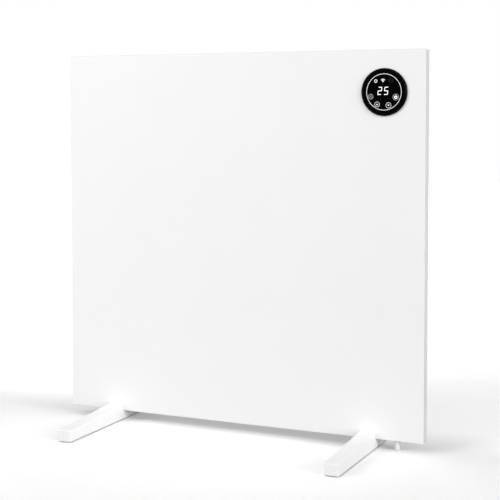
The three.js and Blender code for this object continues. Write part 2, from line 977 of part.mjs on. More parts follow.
function terminalBlock() {
  const { at, width, height, depth } = terminalSize;
  const ways = 4;
  const pitch = height / ways;
  const tools = [];
  for (let i = 0; i < ways; i++) {
    const z = at[1] - height / 2 + (i + 0.5) * pitch;
    const top = powerBoardBack + seat + depth;
    tools.push(bar("y", pitch * 0.28, top - 2, top + 1, at[0], z, 12));
  }
  const shape = cut(boardBlock({ at, width, height, depth }), ...tools);
  return piece("terminal_block", shape, terminalGreen);
}

function transformer() {
  const { at, width, height, depth } = transformerSize;
  const core = boardBlock({ at, width, height: height * 0.7, depth: depth * 0.8 });
  const bobbin = boardBlock({ at, width: width * 0.6, height, depth });
  return piece("transformer", join(core, bobbin), transformerYellow);
}

function radioModule() {
  const { at, width, height, depth } = radioSize;
  const card = boardBlock({ at, width, height, depth: depth / 3 });
  const can = boardBlock({ at, width: width * 0.8, height: height * 0.7, depth });
  return piece("wireless_module", join(card, can), steel);
}

const pivotY = boxDepth + seat + switchFlangeThickness - rockerPivotDepth;

function switchFrame() {
  const [x, z] = switchAt;
  const flange = plate(
    roundedOutline(switchFlange[0], switchFlange[1], 1.5),
    boxDepth + seat,
    boxDepth + seat + switchFlangeThickness,
  );
  const bodyStart = boxDepth - boxWall - switchBodyDepth;
  const body = block(
    -switchBody[0] / 2,
    switchBody[0] / 2,
    bodyStart,
    boxDepth + seat + switchFlangeThickness / 2,
    -switchBody[1] / 2,
    switchBody[1] / 2,
  );
  const pocket = block(
    -switchPocket[0] / 2,
    switchPocket[0] / 2,
    pivotY - rockerSkirt - 1.2,
    boxDepth + 5,
    -switchPocket[1] / 2,
    switchPocket[1] / 2,
  );
  const pinHole = bar("x", rockerPinRadius + play, -20, 20, pivotY, 0, 16);
  const blades = [-1, 1].map((way) =>
    block(-2.4, 2.4, bodyStart - 3, bodyStart + 1, way * 4 - 0.4, way * 4 + 0.4),
  );
  const shape = cut(join(flange, body, ...blades), pocket, pinHole);
  return piece("switch_frame", shape, blackPlastic, x, 0, z);
}

// The rocker's section stands across X; it rests tilted with its upper end pressed in.
function switchRocker() {
  const section = outline([
    [-rockerHalf, rockerSkirt * 0.4],
    [-rockerHalf / 2, -rockerSkirt],
    [rockerHalf / 2, -rockerSkirt],
    [rockerHalf, rockerSkirt * 0.4],
    [rockerHalf, rockerEnd],
    [0, rockerMiddle],
    [-rockerHalf, rockerEnd],
  ]);
  const settings = { depth: rockerWidth, bevelEnabled: false };
  const paddle = new THREE.ExtrudeGeometry(section, settings)
    .translate(0, 0, -rockerWidth / 2)
    .rotateY(Math.PI / 2);
  const pin = bar("x", rockerPinRadius, -switchBody[0] / 2 + 0.3, switchBody[0] / 2 - 0.3);
  const rocker = piece("switch_rocker", join(paddle, pin), blackPlastic);
  rocker.position.set(switchAt[0], pivotY, switchAt[1]);
  rocker.rotation.x = THREE.MathUtils.degToRad(rockerTilt);
  return rocker;
}

// A snap-in bush: the collar outside, a lip inside, and a tapered nose that points down.
function cordGland() {
  const lipStart = boxWall + seat;
  const shape = turned(
    [
      [glandBore, -glandLength],
      [glandTip, -glandLength],
      [glandNeck, -glandCollarThickness - 1],
      [glandCollar, -glandCollarThickness],
      [glandCollar, -seat],
      [glandNeck, -seat],
      [glandNeck, lipStart],
      [glandLip, lipStart],
      [glandNeck, lipStart + 2],
      [glandBore, lipStart + 2],
      [glandBore, -glandLength],
    ],
    20,
  ).rotateX(Math.PI / 2);
  const [x, y] = glandAt;
  return piece("cord_gland", shape, blackPlastic, x, y, -boxHeight / 2);
}

function controls() {
  const group = new THREE.Group();
  group.position.set(boxX, boxMouthY, boxZ);
  group.add(controlBox(), controlBoard(), terminalBlock(), transformer(), radioModule());
  group.add(piece("relay", boardBlock(relaySize), relayBlue));
  group.add(piece("capacitor", boardBlock(capacitorSize), transformerYellow));
  group.add(piece("temperature_sensor", boardBlock(sensorSize), blackPlastic));
  group.add(switchFrame(), switchRocker(), cordGland(), ...boxScrews());
  return group;
}

// ---------- thermal cut-out and leads ----------

function thermalCutout() {
  const y0 = boardFrontY;
  const y1 = y0 + cutoutHeight;
  const [bladeWidth, bladeLength] = cutoutBlade;
  const body = bar("y", cutoutRadius, y0, y1 - 2, 0, 0, 24);
  const neck = bar("y", cutoutRadius - 1.5, y0 + 1, y1, 0, 0, 24);
  const blades = [-1, 1].map((way) => {
    const x = (way * cutoutBladeSpread) / 2;
    return block(x - bladeWidth / 2, x + bladeWidth / 2, y1 - 1.2, y1 - 0.4, 0, 6 + bladeLength);
  });
  const shape = join(body, neck, ...blades);
  return piece("thermal_cutout", shape, blackPlastic, cutoutX, 0, cutoutZ);
}

// A lead through hand-set points, with each corner rounded.
function lead(name, points) {
  const corners = points.map(([x, y, z]) => new THREE.Vector3(x, y, z));
  const path = new THREE.CurvePath();
  let from = corners[0];
  for (let i = 1; i + 1 < corners.length; i++) {
    const corner = corners[i];
    const reach = Math.min(
      leadBend,
      corner.distanceTo(corners[i - 1]) * 0.45,
      corner.distanceTo(corners[i + 1]) * 0.45,
    );
    const entry = corner.clone().lerp(corners[i - 1], reach / corner.distanceTo(corners[i - 1]));
    const exit = corner.clone().lerp(corners[i + 1], reach / corner.distanceTo(corners[i + 1]));
    path.add(new THREE.LineCurve3(from, entry));
    path.add(new THREE.QuadraticBezierCurve3(entry, corner, exit));
    from = exit;
  }
  path.add(new THREE.LineCurve3(from, corners.at(-1)));
  const rings = path.curves.flatMap((curve, i) => {
    const places = curve.isLineCurve3 ? [0] : [0, 0.25, 0.5, 0.75];
    const last = i === path.curves.length - 1;
    return (last ? [0, 1] : places).map((t) => ({
      at: curve.getPoint(t),
      along: curve.getTangent(Math.min(t, 0.999)),
    }));
  });
  return piece(name, tube(rings, leadRadius, 6), leadSleeve);
}

// A closed tube through rings, each turned no more than it has to from the one before.
function tube(rings, radius, sides) {
  const across = new THREE.Vector3(0, 0, 1);
  if (Math.abs(rings[0].along.z) > 0.9) across.set(0, 1, 0);
  across.addScaledVector(rings[0].along, -across.dot(rings[0].along)).normalize();
  const positions = [];
  for (const { at, along } of rings) {
    across.addScaledVector(along, -across.dot(along)).normalize();
    const other = new THREE.Vector3().crossVectors(along, across);
    for (let i = 0; i < sides; i++) {
      const turn = (2 * Math.PI * i) / sides;
      const point = at
        .clone()
        .addScaledVector(across, radius * Math.cos(turn))
        .addScaledVector(other, radius * Math.sin(turn));
      positions.push(point.x, point.y, point.z);
    }
  }
  const faces = [];
  for (let s = 0; s + 1 < rings.length; s++) {
    for (let i = 0; i < sides; i++) {
      const a = s * sides + i;
      const b = s * sides + ((i + 1) % sides);
      faces.push(a, b, b + sides, a, b + sides, a + sides);
    }
  }
  const last = (rings.length - 1) * sides;
  for (let i = 1; i + 1 < sides; i++) {
    faces.push(0, i + 1, i);
    faces.push(last, last + i, last + i + 1);
  }
  const body = new THREE.BufferGeometry();
  body.setAttribute("position", new THREE.Float32BufferAttribute(positions, 3));
  body.setIndex(faces);
  return body;
}

function leads() {
  const channelZ = filmTop + busbarTab / 2;
  const tabX = filmHalf - busbarWidth / 2;
  const tabY = filmBackY + seat;
  const midY = (boardFrontY + boardBackY) / 2;
  const bladeTop = cutoutZ + 6 + cutoutBlade[1] + seat;
  const bladeY = boardFrontY + cutoutHeight - 0.8;
  const leftBlade = cutoutX - cutoutBladeSpread / 2;
  const rightBlade = cutoutX + cutoutBladeSpread / 2;
  const underBoardY = boxMouthY + powerBoardLift / 2;
  const aisleX = boxX - (powerBoardWidth / 2 + boxWidth / 2 - boxWall) / 2;
  const terminalX = boxX + terminalSize.at[0] - terminalSize.width / 2 - seat;
  const terminalZ = boxZ + terminalSize.at[1];
  const linkY = boxMouthY + powerBoardBack + 10;
  const rightY = boxMouthY + powerBoardBack + 5;
  return [
    lead("lead_left", [
      [-tabX, tabY, channelZ],
      [-tabX, midY, channelZ],
      [leftBlade, midY, channelZ],
      [leftBlade, bladeY, bladeTop + 12],
      [leftBlade, bladeY, bladeTop],
    ]),
    lead("lead_link", [
      [rightBlade, bladeY, bladeTop],
      [rightBlade, midY, channelZ],
      [notchLeft + 6, midY, channelZ],
      [notchLeft + 6, midY + 2, displayZ + 6],
      [displayX - windowRadius + 5, midY + 2, displayZ + 2],
      [displayX - windowRadius + 5, underBoardY, displayZ],
      [aisleX, underBoardY, displayZ - 6],
      [aisleX, linkY, displayZ - 20],
      [aisleX, linkY, terminalZ + 8],
      [terminalX, linkY, terminalZ + 6],
    ]),
    lead("lead_right", [
      [tabX, tabY, notchBottom + busbarTab / 2],
      [tabX, midY, notchBottom + busbarTab / 2],
      [displayX + 20, midY + 2, displayZ - 26],
      [displayX + 11, midY + 2, displayZ - windowRadius + 8],
      [displayX + 4, underBoardY, displayZ - windowRadius + 6],
      [aisleX, underBoardY, displayZ - 34],
      [aisleX, rightY, displayZ - 46],
      [aisleX, rightY, terminalZ - 2],
      [terminalX, rightY, terminalZ - 4],
    ]),
  ];
}

// ---------- the heater ----------

const heater = new THREE.Group();
heater.add(frontPanel(), backCover(), ...coverScrews());
heater.add(heatingFilm(), reflectorFoil(), insulationBoard());
heater.add(busbar("busbar_left", -1, filmTop + busbarTab));
heater.add(busbar("busbar_right", 1, notchBottom + busbarTab));
heater.add(foot(-1, "left"), foot(1, "right"));
heater.add(tipSwitch(), display(), controls(), thermalCutout(), ...leads());

export default heater;
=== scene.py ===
import bmesh
import bpy
import json
import math
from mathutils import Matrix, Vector


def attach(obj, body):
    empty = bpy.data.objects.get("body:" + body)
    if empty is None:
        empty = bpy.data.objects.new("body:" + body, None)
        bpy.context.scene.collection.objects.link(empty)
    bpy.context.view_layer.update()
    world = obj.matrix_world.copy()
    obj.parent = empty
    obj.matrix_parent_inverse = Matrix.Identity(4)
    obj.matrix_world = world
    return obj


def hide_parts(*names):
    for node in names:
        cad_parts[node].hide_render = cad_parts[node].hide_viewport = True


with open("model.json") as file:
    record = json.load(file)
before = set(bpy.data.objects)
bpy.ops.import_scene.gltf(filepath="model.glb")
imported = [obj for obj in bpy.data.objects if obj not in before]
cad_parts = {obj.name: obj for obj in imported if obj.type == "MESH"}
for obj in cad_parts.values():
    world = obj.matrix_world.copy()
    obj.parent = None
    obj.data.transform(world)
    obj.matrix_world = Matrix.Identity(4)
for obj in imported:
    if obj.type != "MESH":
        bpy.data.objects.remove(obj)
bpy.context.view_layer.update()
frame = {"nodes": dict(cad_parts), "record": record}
mm = 0.001
seat = 0.3        # gap between two pieces that lie on each other, in millimetres
axes = {"x": Vector((1, 0, 0)), "y": Vector((0, 1, 0)), "z": Vector((0, 0, 1))}
print("frame loaded")


# picking and starting shapes (all sizes and places in millimetres)

def clearSelection():
    if bpy.context.mode != "OBJECT":
        bpy.ops.object.mode_set(mode="OBJECT")
    bpy.ops.object.select_all(action="DESELECT")


def pick(piece):
    clearSelection()
    piece.select_set(True)
    bpy.context.view_layer.objects.active = piece


def openMesh(piece, kind="FACE"):
    pick(piece)
    bpy.ops.object.mode_set(mode="EDIT")
    bpy.ops.mesh.select_mode(type=kind)
    bpy.ops.mesh.select_all(action="DESELECT")


def closeMesh():
    bpy.ops.object.mode_set(mode="OBJECT")


def select(kind, test):
    # test gets the middle of a face and its normal, both ends of an edge, or a point
    mesh = bpy.context.object.data
    bpy.ops.mesh.select_mode(type=kind)
    bpy.ops.mesh.select_all(action="DESELECT")
    work = bmesh.from_edit_mesh(mesh)
    work.normal_update()
    if kind == "FACE":
        for face in work.faces:
            if test(face.calc_center_median() / mm, face.normal):
                face.select_set(True)
    elif kind == "EDGE":
        for edge in work.edges:
            if test(edge.verts[0].co / mm, edge.verts[1].co / mm):
                edge.select_set(True)
    else:
        for point in work.verts:
            if test(point.co / mm):
                point.select_set(True)
    work.select_flush_mode()
    bmesh.update_edit_mesh(mesh)


def near(a, b, slack=0.05):
    return abs(a - b) < slack


def extrudeBy(x=0, y=0, z=0):
    bpy.ops.mesh.extrude_region_move(TRANSFORM_OT_translate={"value": (x * mm, y * mm, z * mm)})


def bevelPicked(width, steps):
    bpy.ops.mesh.bevel(offset=width * mm, segments=steps, affect="EDGES", profile=0.5)


def faceOutward():
    bpy.ops.mesh.select_all(action="SELECT")
    bpy.ops.mesh.remove_doubles(threshold=0.000002)
    bpy.ops.mesh.normals_make_consistent(inside=False)


def nameIt(name):
    piece = bpy.context.object
    piece.name = piece.data.name = name
    bpy.ops.object.transform_apply(location=True, rotation=True, scale=True)
    return piece


def startBox(name, low, high):
    clearSelection()
    middle = [(a + b) / 2 * mm for a, b in zip(low, high)]
    size = [(b - a) * mm for a, b in zip(low, high)]
    bpy.ops.mesh.primitive_cube_add(size=1, location=middle, scale=size)
    return nameIt(name)


def startDisc(name, centre, radius, axis, sides):
    clearSelection()
    turn = {"x": (0, math.pi / 2, 0), "y": (math.pi / 2, 0, 0), "z": (0, 0, 0)}[axis]
    bpy.ops.mesh.primitive_circle_add(vertices=sides, radius=radius * mm, fill_type="NGON",
                                      location=Vector(centre) * mm, rotation=turn)
    return nameIt(name)


def startChain(name, points):
    # one point, drawn out from place to place
    clearSelection()
    bpy.ops.mesh.primitive_plane_add(size=mm, location=Vector(points[0]) * mm)
    piece = nameIt(name)
    openMesh(piece, "VERT")
    bpy.ops.mesh.select_all(action="SELECT")
    bpy.ops.mesh.merge(type="CENTER")
    for before, after in zip(points, points[1:]):
        extrudeBy(*(Vector(after) - Vector(before)))
    bpy.ops.mesh.select_all(action="SELECT")
    return piece


def rod(name, axis, radius, start, end, centre, sides):
    place = Vector(centre)
    place["xyz".index(axis)] = start
    piece = startDisc(name, place, radius, axis, sides)
    openMesh(piece)
    bpy.ops.mesh.select_all(action="SELECT")
    extrudeBy(*(axes[axis] * (end - start)))
    faceOutward()
    closeMesh()
    return piece


def turnedPiece(name, axis, centre, profile, sides):
    # profile: radius and place along the axis, from the middle
    points = [Vector(centre) + axes["x"] * radius + axes[axis] * along for radius, along in profile]
    piece = startChain(name, points)
    bpy.ops.mesh.spin(steps=sides, angle=2 * math.pi, center=Vector(centre) * mm, axis=axes[axis])
    faceOutward()
    closeMesh()
    return piece


def cutShape(name, points, thickness, axis="y"):
    # a flat outline, filled and drawn out along an axis
    piece = startChain(name, points)
    bpy.ops.mesh.edge_face_add()
    extrudeBy(*(axes[axis] * thickness))
    faceOutward()
    closeMesh()
    return piece


def slotBox(name, low, high, radius, axis, steps):
    # a box with its four edges along one axis rounded
    piece = startBox(name, low, high)
    openMesh(piece, "EDGE")
    along = "xyz".index(axis)
    select("EDGE", lambda a, b: abs(a[along] - b[along]) > 0.01)
    bevelPicked(radius, steps)
    faceOutward()
    closeMesh()
    return piece


def combine(piece, tools, how="DIFFERENCE"):
    # a cutting tool stands out of the open side of its cut, so that no two faces coincide
    for tool in tools:
        change = piece.modifiers.new("combine", "BOOLEAN")
        change.operation = how
        change.solver = "EXACT"
        change.object = tool
        pick(piece)
        bpy.ops.object.modifier_apply(modifier="combine")
        bpy.data.objects.remove(tool)
        openMesh(piece)
        bpy.ops.mesh.select_all(action="SELECT")
        bpy.ops.mesh.remove_doubles(threshold=0.00001)
        closeMesh()


def roundEdges(piece, width, steps, angle):
    change = piece.modifiers.new("round", "BEVEL")
    change.width = width * mm
    change.segments = steps
    change.limit_method = "ANGLE"
    change.angle_limit = math.radians(angle)
    pick(piece)
    bpy.ops.object.modifier_apply(modifier="round")


def copyOf(piece, name, shift):
    pick(piece)
    bpy.ops.object.duplicate(linked=False)
    bpy.context.object.location = Vector(shift) * mm
    return nameIt(name)


def joinAll(name, pieces):
    clearSelection()
    for piece in pieces:
        piece.select_set(True)
    bpy.context.view_layer.objects.active = pieces[0]
    if len(pieces) > 1:
        bpy.ops.object.join()
    return nameIt(name)


def finishPiece(piece, finish, slot, body, *replaced, smooth=32):
    pick(piece)
    bpy.ops.object.shade_smooth_by_angle(angle=math.radians(smooth))
    change = piece.modifiers.new("even", "WEIGHTED_NORMAL")
    change.keep_sharp = True
    bpy.ops.object.modifier_apply(modifier="even")
    if not piece.data.materials:
        piece.data.materials.append(finish)
    if replaced:
        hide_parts(*replaced)
    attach(piece, body)


# finishes

def startFinish(name):
    finish = bpy.data.materials.new(name)
    finish.use_nodes = True
    return finish, finish.node_tree, finish.node_tree.nodes["Principled BSDF"]


def pattern(tree, kind, size, stretch=(1, 1, 1), detail=2.0):
    # a pattern in Object coordinates; size is its grain in millimetres
    place = tree.nodes.new("ShaderNodeTexCoord")
    mapping = tree.nodes.new("ShaderNodeMapping")
    mapping.inputs["Scale"].default_value = stretch
    texture = tree.nodes.new(kind)
    texture.inputs["Scale"].default_value = 1 / (size * mm)
    if "Detail" in texture.inputs:
        texture.inputs["Detail"].default_value = detail
    tree.links.new(place.outputs["Object"], mapping.inputs["Vector"])
    tree.links.new(mapping.outputs["Vector"], texture.inputs["Vector"])
    return texture


def spread(tree, source, low, high, start=0.3, end=0.7):
    span = tree.nodes.new("ShaderNodeMapRange")
    for socket, value in zip(("From Min", "From Max", "To Min", "To Max"), (start, end, low, high)):
        span.inputs[socket].default_value = value
    tree.links.new(source, span.inputs["Value"])
    return span.outputs["Result"]


def blendColours(tree, amount, first, second):
    mix = tree.nodes.new("ShaderNodeMix")
    mix.data_type = "RGBA"
    for socket, colour in ((mix.inputs[6], first), (mix.inputs[7], second)):
        if isinstance(colour, bpy.types.NodeSocket):
            tree.links.new(colour, socket)
        else:
            socket.default_value = (*colour, 1)
    tree.links.new(amount, mix.inputs[0])
    return mix.outputs[2]


def emboss(tree, shader, height, strength, depth):
    # depth in millimetres
    bump = tree.nodes.new("ShaderNodeBump")
    bump.inputs["Strength"].default_value = strength
    bump.inputs["Distance"].default_value = depth * mm
    tree.links.new(height, bump.inputs["Height"])
    tree.links.new(bump.outputs["Normal"], shader.inputs["Normal"])


def plainFinish(name, colour, shade, rough, grain, cloud, bump, depth,
                stretch=(1, 1, 1), detail=2.0, **sockets):
    # a colour that wanders a little, with a fine grain in its gloss and surface; grain, cloud and
    # depth are in millimetres
    finish, tree, shader = startFinish(name)
    fine = pattern(tree, "ShaderNodeTexNoise", grain, stretch, detail).outputs["Fac"]
    slow = pattern(tree, "ShaderNodeTexNoise", cloud, stretch).outputs["Fac"]
    darker = [value * (1 - shade) for value in colour]
    tint = blendColours(tree, spread(tree, slow, 0, 1), darker, colour)
    tree.links.new(tint, shader.inputs["Base Color"])
    tree.links.new(spread(tree, fine, *rough), shader.inputs["Roughness"])
    emboss(tree, shader, fine, bump, depth)
    for socket, value in sockets.items():
        shader.inputs[socket.replace("_", " ")].default_value = value
    return finish


def woolFinish(name):
    finish, tree, shader = startFinish(name)
    fibre = pattern(tree, "ShaderNodeTexNoise", 2.2, (1, 6, 0.35), 6).outputs["Fac"]
    cross = pattern(tree, "ShaderNodeTexNoise", 1.4, (0.4, 6, 1), 5).outputs["Fac"]
    straw = blendColours(tree, spread(tree, fibre, 0, 1), (0.58, 0.50, 0.34), (0.84, 0.79, 0.64))
    tint = blendColours(tree, spread(tree, cross, 0, 0.6), straw, (0.71, 0.63, 0.46))
    tree.links.new(tint, shader.inputs["Base Color"])
    shader.inputs["Roughness"].default_value = 0.95
    emboss(tree, shader, fibre, 0.7, 0.6)
    return finish


def boardFinish(name):
    # solder mask with tracks and pads under it
    finish, tree, shader = startFinish(name)
    tracks = pattern(tree, "ShaderNodeTexBrick", 9)
    tracks.inputs["Mortar Size"].default_value = 0.06
    tracks.inputs["Color1"].default_value = (0, 0, 0, 1)
    tracks.inputs["Color2"].default_value = (0, 0, 0, 1)
    tracks.inputs["Mortar"].default_value = (1, 1, 1, 1)
    pads = pattern(tree, "ShaderNodeTexVoronoi", 3.5).outputs["Distance"]
    green = blendColours(tree, tracks.outputs["Color"], (0.012, 0.085, 0.035), (0.03, 0.19, 0.08))
    tint = blendColours(tree, spread(tree, pads, 1, 0, 0.16, 0.2), green, (0.62, 0.60, 0.55))
    tree.links.new(tint, shader.inputs["Base Color"])
    tree.links.new(spread(tree, pads, 0.25, 0.42), shader.inputs["Roughness"])
    emboss(tree, shader, tracks.outputs["Color"], 0.3, 0.05)
    return finish


def stripedFinish(name, first, second, pitch, rough, direction="X", bump=0.3, depth=0.1):
    finish, tree, shader = startFinish(name)
    wave = pattern(tree, "ShaderNodeTexWave", pitch * math.pi)
    wave.bands_direction = direction
    wave.inputs["Distortion"].default_value = 0.0
    fine = pattern(tree, "ShaderNodeTexNoise", 1.0).outputs["Fac"]
    tint = blendColours(tree, wave.outputs["Fac"], first, second)
    tree.links.new(tint, shader.inputs["Base Color"])
    tree.links.new(spread(tree, fine, *rough), shader.inputs["Roughness"])
    emboss(tree, shader, wave.outputs["Fac"], bump, depth)
    return finish


def litFinish(name, colour, glow):
    # a lit or printed mark under the glass
    finish, tree, shader = startFinish(name)
    fine = pattern(tree, "ShaderNodeTexNoise", 0.5).outputs["Fac"]
    dim = [value * 0.93 for value in colour]
    tint = blendColours(tree, spread(tree, fine, 0, 1), dim, colour)
    tree.links.new(tint, shader.inputs["Base Color"])
    tree.links.new(tint, shader.inputs["Emission Color"])
    shader.inputs["Emission Strength"].default_value = glow
    shader.inputs["Roughness"].default_value = 0.4
    shader.inputs["Specular IOR Level"].default_value = 0.1
    return finish


whiteCoat = plainFinish("white_powder_coat", (0.925, 0.925, 0.922), shade=0.012, rough=(0.40, 0.50),
                        grain=1.1, cloud=140, bump=0.10, depth=0.04)
# painted shade: a darker grey that stands in for the shade on the panel's folded sides and top fold
paintedShadeCoat = plainFinish("painted_shade_side_coat", (0.695, 0.697, 0.698), shade=0.02, rough=(0.42, 0.52),
                       grain=1.1, cloud=120, bump=0.10, depth=0.04)
coverCoat = plainFinish("rear_cover_coat", (0.895, 0.895, 0.888), shade=0.02, rough=(0.45, 0.58),
                        grain=1.4, cloud=160, bump=0.16, depth=0.05)
footPlastic = plainFinish("white_foot_plastic", (0.915, 0.915, 0.911), shade=0.012, rough=(0.36, 0.46),
                          grain=0.7, cloud=70, bump=0.10, depth=0.03)
boxPlastic = plainFinish("white_box_plastic", (0.885, 0.885, 0.878), shade=0.015, rough=(0.42, 0.55),
                         grain=0.6, cloud=60, bump=0.28, depth=0.04)
blackPlastic = plainFinish("black_satin_plastic", (0.012, 0.012, 0.013), shade=0.2, rough=(0.30, 0.42),
                           grain=0.5, cloud=20, bump=0.12, depth=0.02)
bezelPlastic = plainFinish("black_gloss_bezel", (0.0012, 0.0012, 0.0013), shade=0.2, rough=(0.14, 0.2),
                           grain=0.8, cloud=20, bump=0.04, depth=0.01, Specular_IOR_Level=0.06)
blackGlass = plainFinish("black_display_glass", (0.0006, 0.0006, 0.0007), shade=0.3, rough=(0.04, 0.07),
                         grain=4, cloud=30, bump=0.02, depth=0.01, Specular_IOR_Level=0.015)
glassEdge = plainFinish("polished_glass_edge", (0.0012, 0.0012, 0.0013), shade=0.3, rough=(0.05, 0.09),
                        grain=2, cloud=30, bump=0.02, depth=0.01, Specular_IOR_Level=0.5)
rubber = plainFinish("pad_rubber", (0.36, 0.36, 0.355), shade=0.1, rough=(0.75, 0.92),
                     grain=0.6, cloud=12, bump=0.4, depth=0.06)
steel = plainFinish("zinc_steel", (0.60, 0.61, 0.62), shade=0.12, rough=(0.24, 0.40),
                    grain=0.6, cloud=5, bump=0.1, depth=0.02, Metallic=1.0)
copper = plainFinish("tinned_copper", (0.78, 0.42, 0.25), shade=0.15, rough=(0.28, 0.45),
                     grain=0.8, cloud=20, bump=0.15, depth=0.03, stretch=(4, 4, 0.3), Metallic=1.0)
foil = plainFinish("crinkled_foil", (0.80, 0.81, 0.82), shade=0.08, rough=(0.18, 0.34),
                   grain=7, cloud=40, bump=0.8, depth=0.5, detail=5, Metallic=1.0)
foam = plainFinish("touch_pad_foam", (0.045, 0.045, 0.05), shade=0.3, rough=(0.9, 1.0),
                   grain=0.5, cloud=3, bump=0.7, depth=0.15)
moduleWhite = plainFinish("digit_module_white", (0.70, 0.72, 0.74), shade=0.05, rough=(0.4, 0.55),
                          grain=0.6, cloud=8, bump=0.15, depth=0.03)
relayBlue = plainFinish("relay_blue", (0.03, 0.11, 0.40), shade=0.08, rough=(0.32, 0.45),
                        grain=0.5, cloud=10, bump=0.15, depth=0.02)
transformerYellow = plainFinish("winding_tape_yellow", (0.68, 0.45, 0.05), shade=0.15, rough=(0.35, 0.5),
                                grain=0.8, cloud=6, bump=0.2, depth=0.05, stretch=(0.4, 1, 4))
terminalGreen = plainFinish("terminal_green", (0.06, 0.33, 0.10), shade=0.08, rough=(0.35, 0.48),
                            grain=0.5, cloud=8, bump=0.15, depth=0.03)
film = stripedFinish("heating_film_tracks", (0.018, 0.018, 0.020), (0.045, 0.044, 0.046), 12, (0.45, 0.6))
ribbon = stripedFinish("ribbon_ways", (0.34, 0.36, 0.38), (0.55, 0.57, 0.59), 1.27, (0.45, 0.6))
leadSleeve = stripedFinish("braided_sleeve", (0.55, 0.46, 0.34), (0.76, 0.68, 0.55), 0.9, (0.7, 0.85),
                           "DIAGONAL", 0.6, 0.15)
wool = woolFinish("mineral_wool")
circuitBoard = boardFinish("solder_mask")
litWhite = litFinish("lit_marks", (0.92, 0.93, 0.94), 0.50)
litRing = litFinish("lit_ring", (0.80, 0.81, 0.82), 0.35)
litGrey = litFinish("dimmed_marks", (0.38, 0.39, 0.40), 0.18)
unlitGrey = litFinish("unlit_marks", (0.014, 0.014, 0.015), 0.01)
print("finishes made")


# front panel: a folded sheet tray

panel = {
    "low": (-300, -9, 15), "high": (300, 9, 591),
    "sheet": 1.2,
    "rimDepth": 2.4,            # from the back edge to the folded lip
    "lip": 12,
    "floor": -7.8,              # inner face of the front sheet
    "frontRound": 0.9, "rimRound": 0.25,
    "displayHole": (238, 529, 31.0),
    "tipHole": (257.5, 0.55, 4.3),
    "tipBay": (246.9, 268.1, 4, 29.2),      # left, right, front and top
    "footHoles": (-220.6, -209.4, 209.4, 220.6), "footHoleRadius": 2.3,
    "undersideCut": 3,                      # how far up the holes in the underside are cut
    "coverScrewX": (-292.8, 0, 292.8), "coverScrewZ": (22.2, 303, 583.8),
    "coverScrewHole": (1.8, 4, 8),          # radius, from and to along the depth
}
# the back cover's eight screws stand at the corners and in the middle of each side
coverScrewSpots = [(x, z) for x in panel["coverScrewX"] for z in panel["coverScrewZ"]
                   if (x, z) != (0, panel["coverScrewZ"][1])]


def makePanel(p):
    sheetBody = startBox("front_panel_sheet", p["low"], p["high"])
    _, front, bottom = p["low"]
    right, back, top = p["high"]
    sheet = p["sheet"]
    openMesh(sheetBody)
    select("FACE", lambda middle, normal: normal.y > 0.9)
    bpy.ops.mesh.inset(thickness=sheet * mm)
    extrudeBy(y=-p["rimDepth"])
    bpy.ops.mesh.inset(thickness=p["lip"] * mm)
    extrudeBy(y=-sheet)
    # in front of the lip the hollow widens again to the folded sides
    extrudeBy()
    widen = (right - sheet) / (right - sheet - p["lip"])
    half = (top - bottom) / 2 - sheet
    heighten = half / (half - p["lip"])
    middle = Vector((0, 0, (bottom + top) / 2)) * mm
    bpy.ops.transform.resize(value=(widen, 1, heighten), center_override=middle)
    extrudeBy(y=p["floor"] - (back - p["rimDepth"] - sheet))

    def onFront(a, b):
        runsBack = near(a.x, b.x) and near(a.z, b.z)
        atCorner = near(abs(a.x), right) and (near(a.z, bottom) or near(a.z, top))
        return (runsBack and atCorner) or (near(a.y, front) and near(b.y, front))

    def onRim(a, b):
        slack = sheet / 2
        return all(near(e.y, back) and (abs(e.x) > right - slack or e.z < bottom + slack or e.z > top - slack)
                   for e in (a, b))

    select("EDGE", onFront)
    bevelPicked(p["frontRound"], 5)
    select("EDGE", onRim)
    bevelPicked(p["rimRound"], 2)
    faceOutward()
    closeMesh()
    x, z, radius = p["displayHole"]
    tools = [rod("hole", "y", radius, front - 1, 0, (x, 0, z), 96)]
    cutTop = bottom + p["undersideCut"]
    x, y, radius = p["tipHole"]
    tools.append(rod("hole", "z", radius, bottom - 1, cutTop, (x, y, 0), 48))
    x0, x1, y0, z1 = p["tipBay"]
    tools.append(startBox("bay", (x0, y0, bottom + sheet), (x1, back - p["rimDepth"] + 1, z1)))
    tools += [rod("hole", "z", p["footHoleRadius"], bottom - 1, cutTop, (x, 0, 0), 24)
              for x in p["footHoles"]]
    radius, y0, y1 = p["coverScrewHole"]
    tools += [rod("hole", "y", radius, y0, y1, (x, 0, z), 18) for x, z in coverScrewSpots]
    combine(sheetBody, tools)
    # painted shade: the folded sides and the top fold get a clearly greyer colour, which stands in for the
    # shade that falls on them
    sheetBody.data.materials.append(whiteCoat)
    sheetBody.data.materials.append(paintedShadeCoat)
    for face in sheetBody.data.polygons:
        sideways = abs(face.normal.x) > 0.8 and abs(face.center.x) > (right - 0.5) * mm
        upward = face.normal.z > 0.3 and face.center.z > (top - 1) * mm
        face.material_index = 1 if sideways or upward else 0
    finishPiece(sheetBody, whiteCoat, "white_coat", "heater", "front_panel", smooth=25)


makePanel(panel)
print("front panel made")


# back cover: a plate with one pressed field

cover = {
    "low": (-298.5, 6.9, 16.5), "high": (298.5, 7.7, 589.5),
    "edgeRound": 0.2,
    "field": (-250.5, 250.5, 64.5, 389), "fieldCorner": 12,
    "pressMargin": 0.8, "pressDepth": (0.55, 0.05),     # past the field, and under the sheet's face
    # inward and outward steps of the press, from just outside the field to its flat middle
    "press": ((1.4, 0.11), (0.8, 0.14), (2.2, 0.70), (0.8, 0.14), (0.6, 0.06)),
    "window": (238, 529, 24), "windowCut": (5, 9),
    "screwHole": (1.8, 5, 9.5),             # radius, from and to along the depth
}


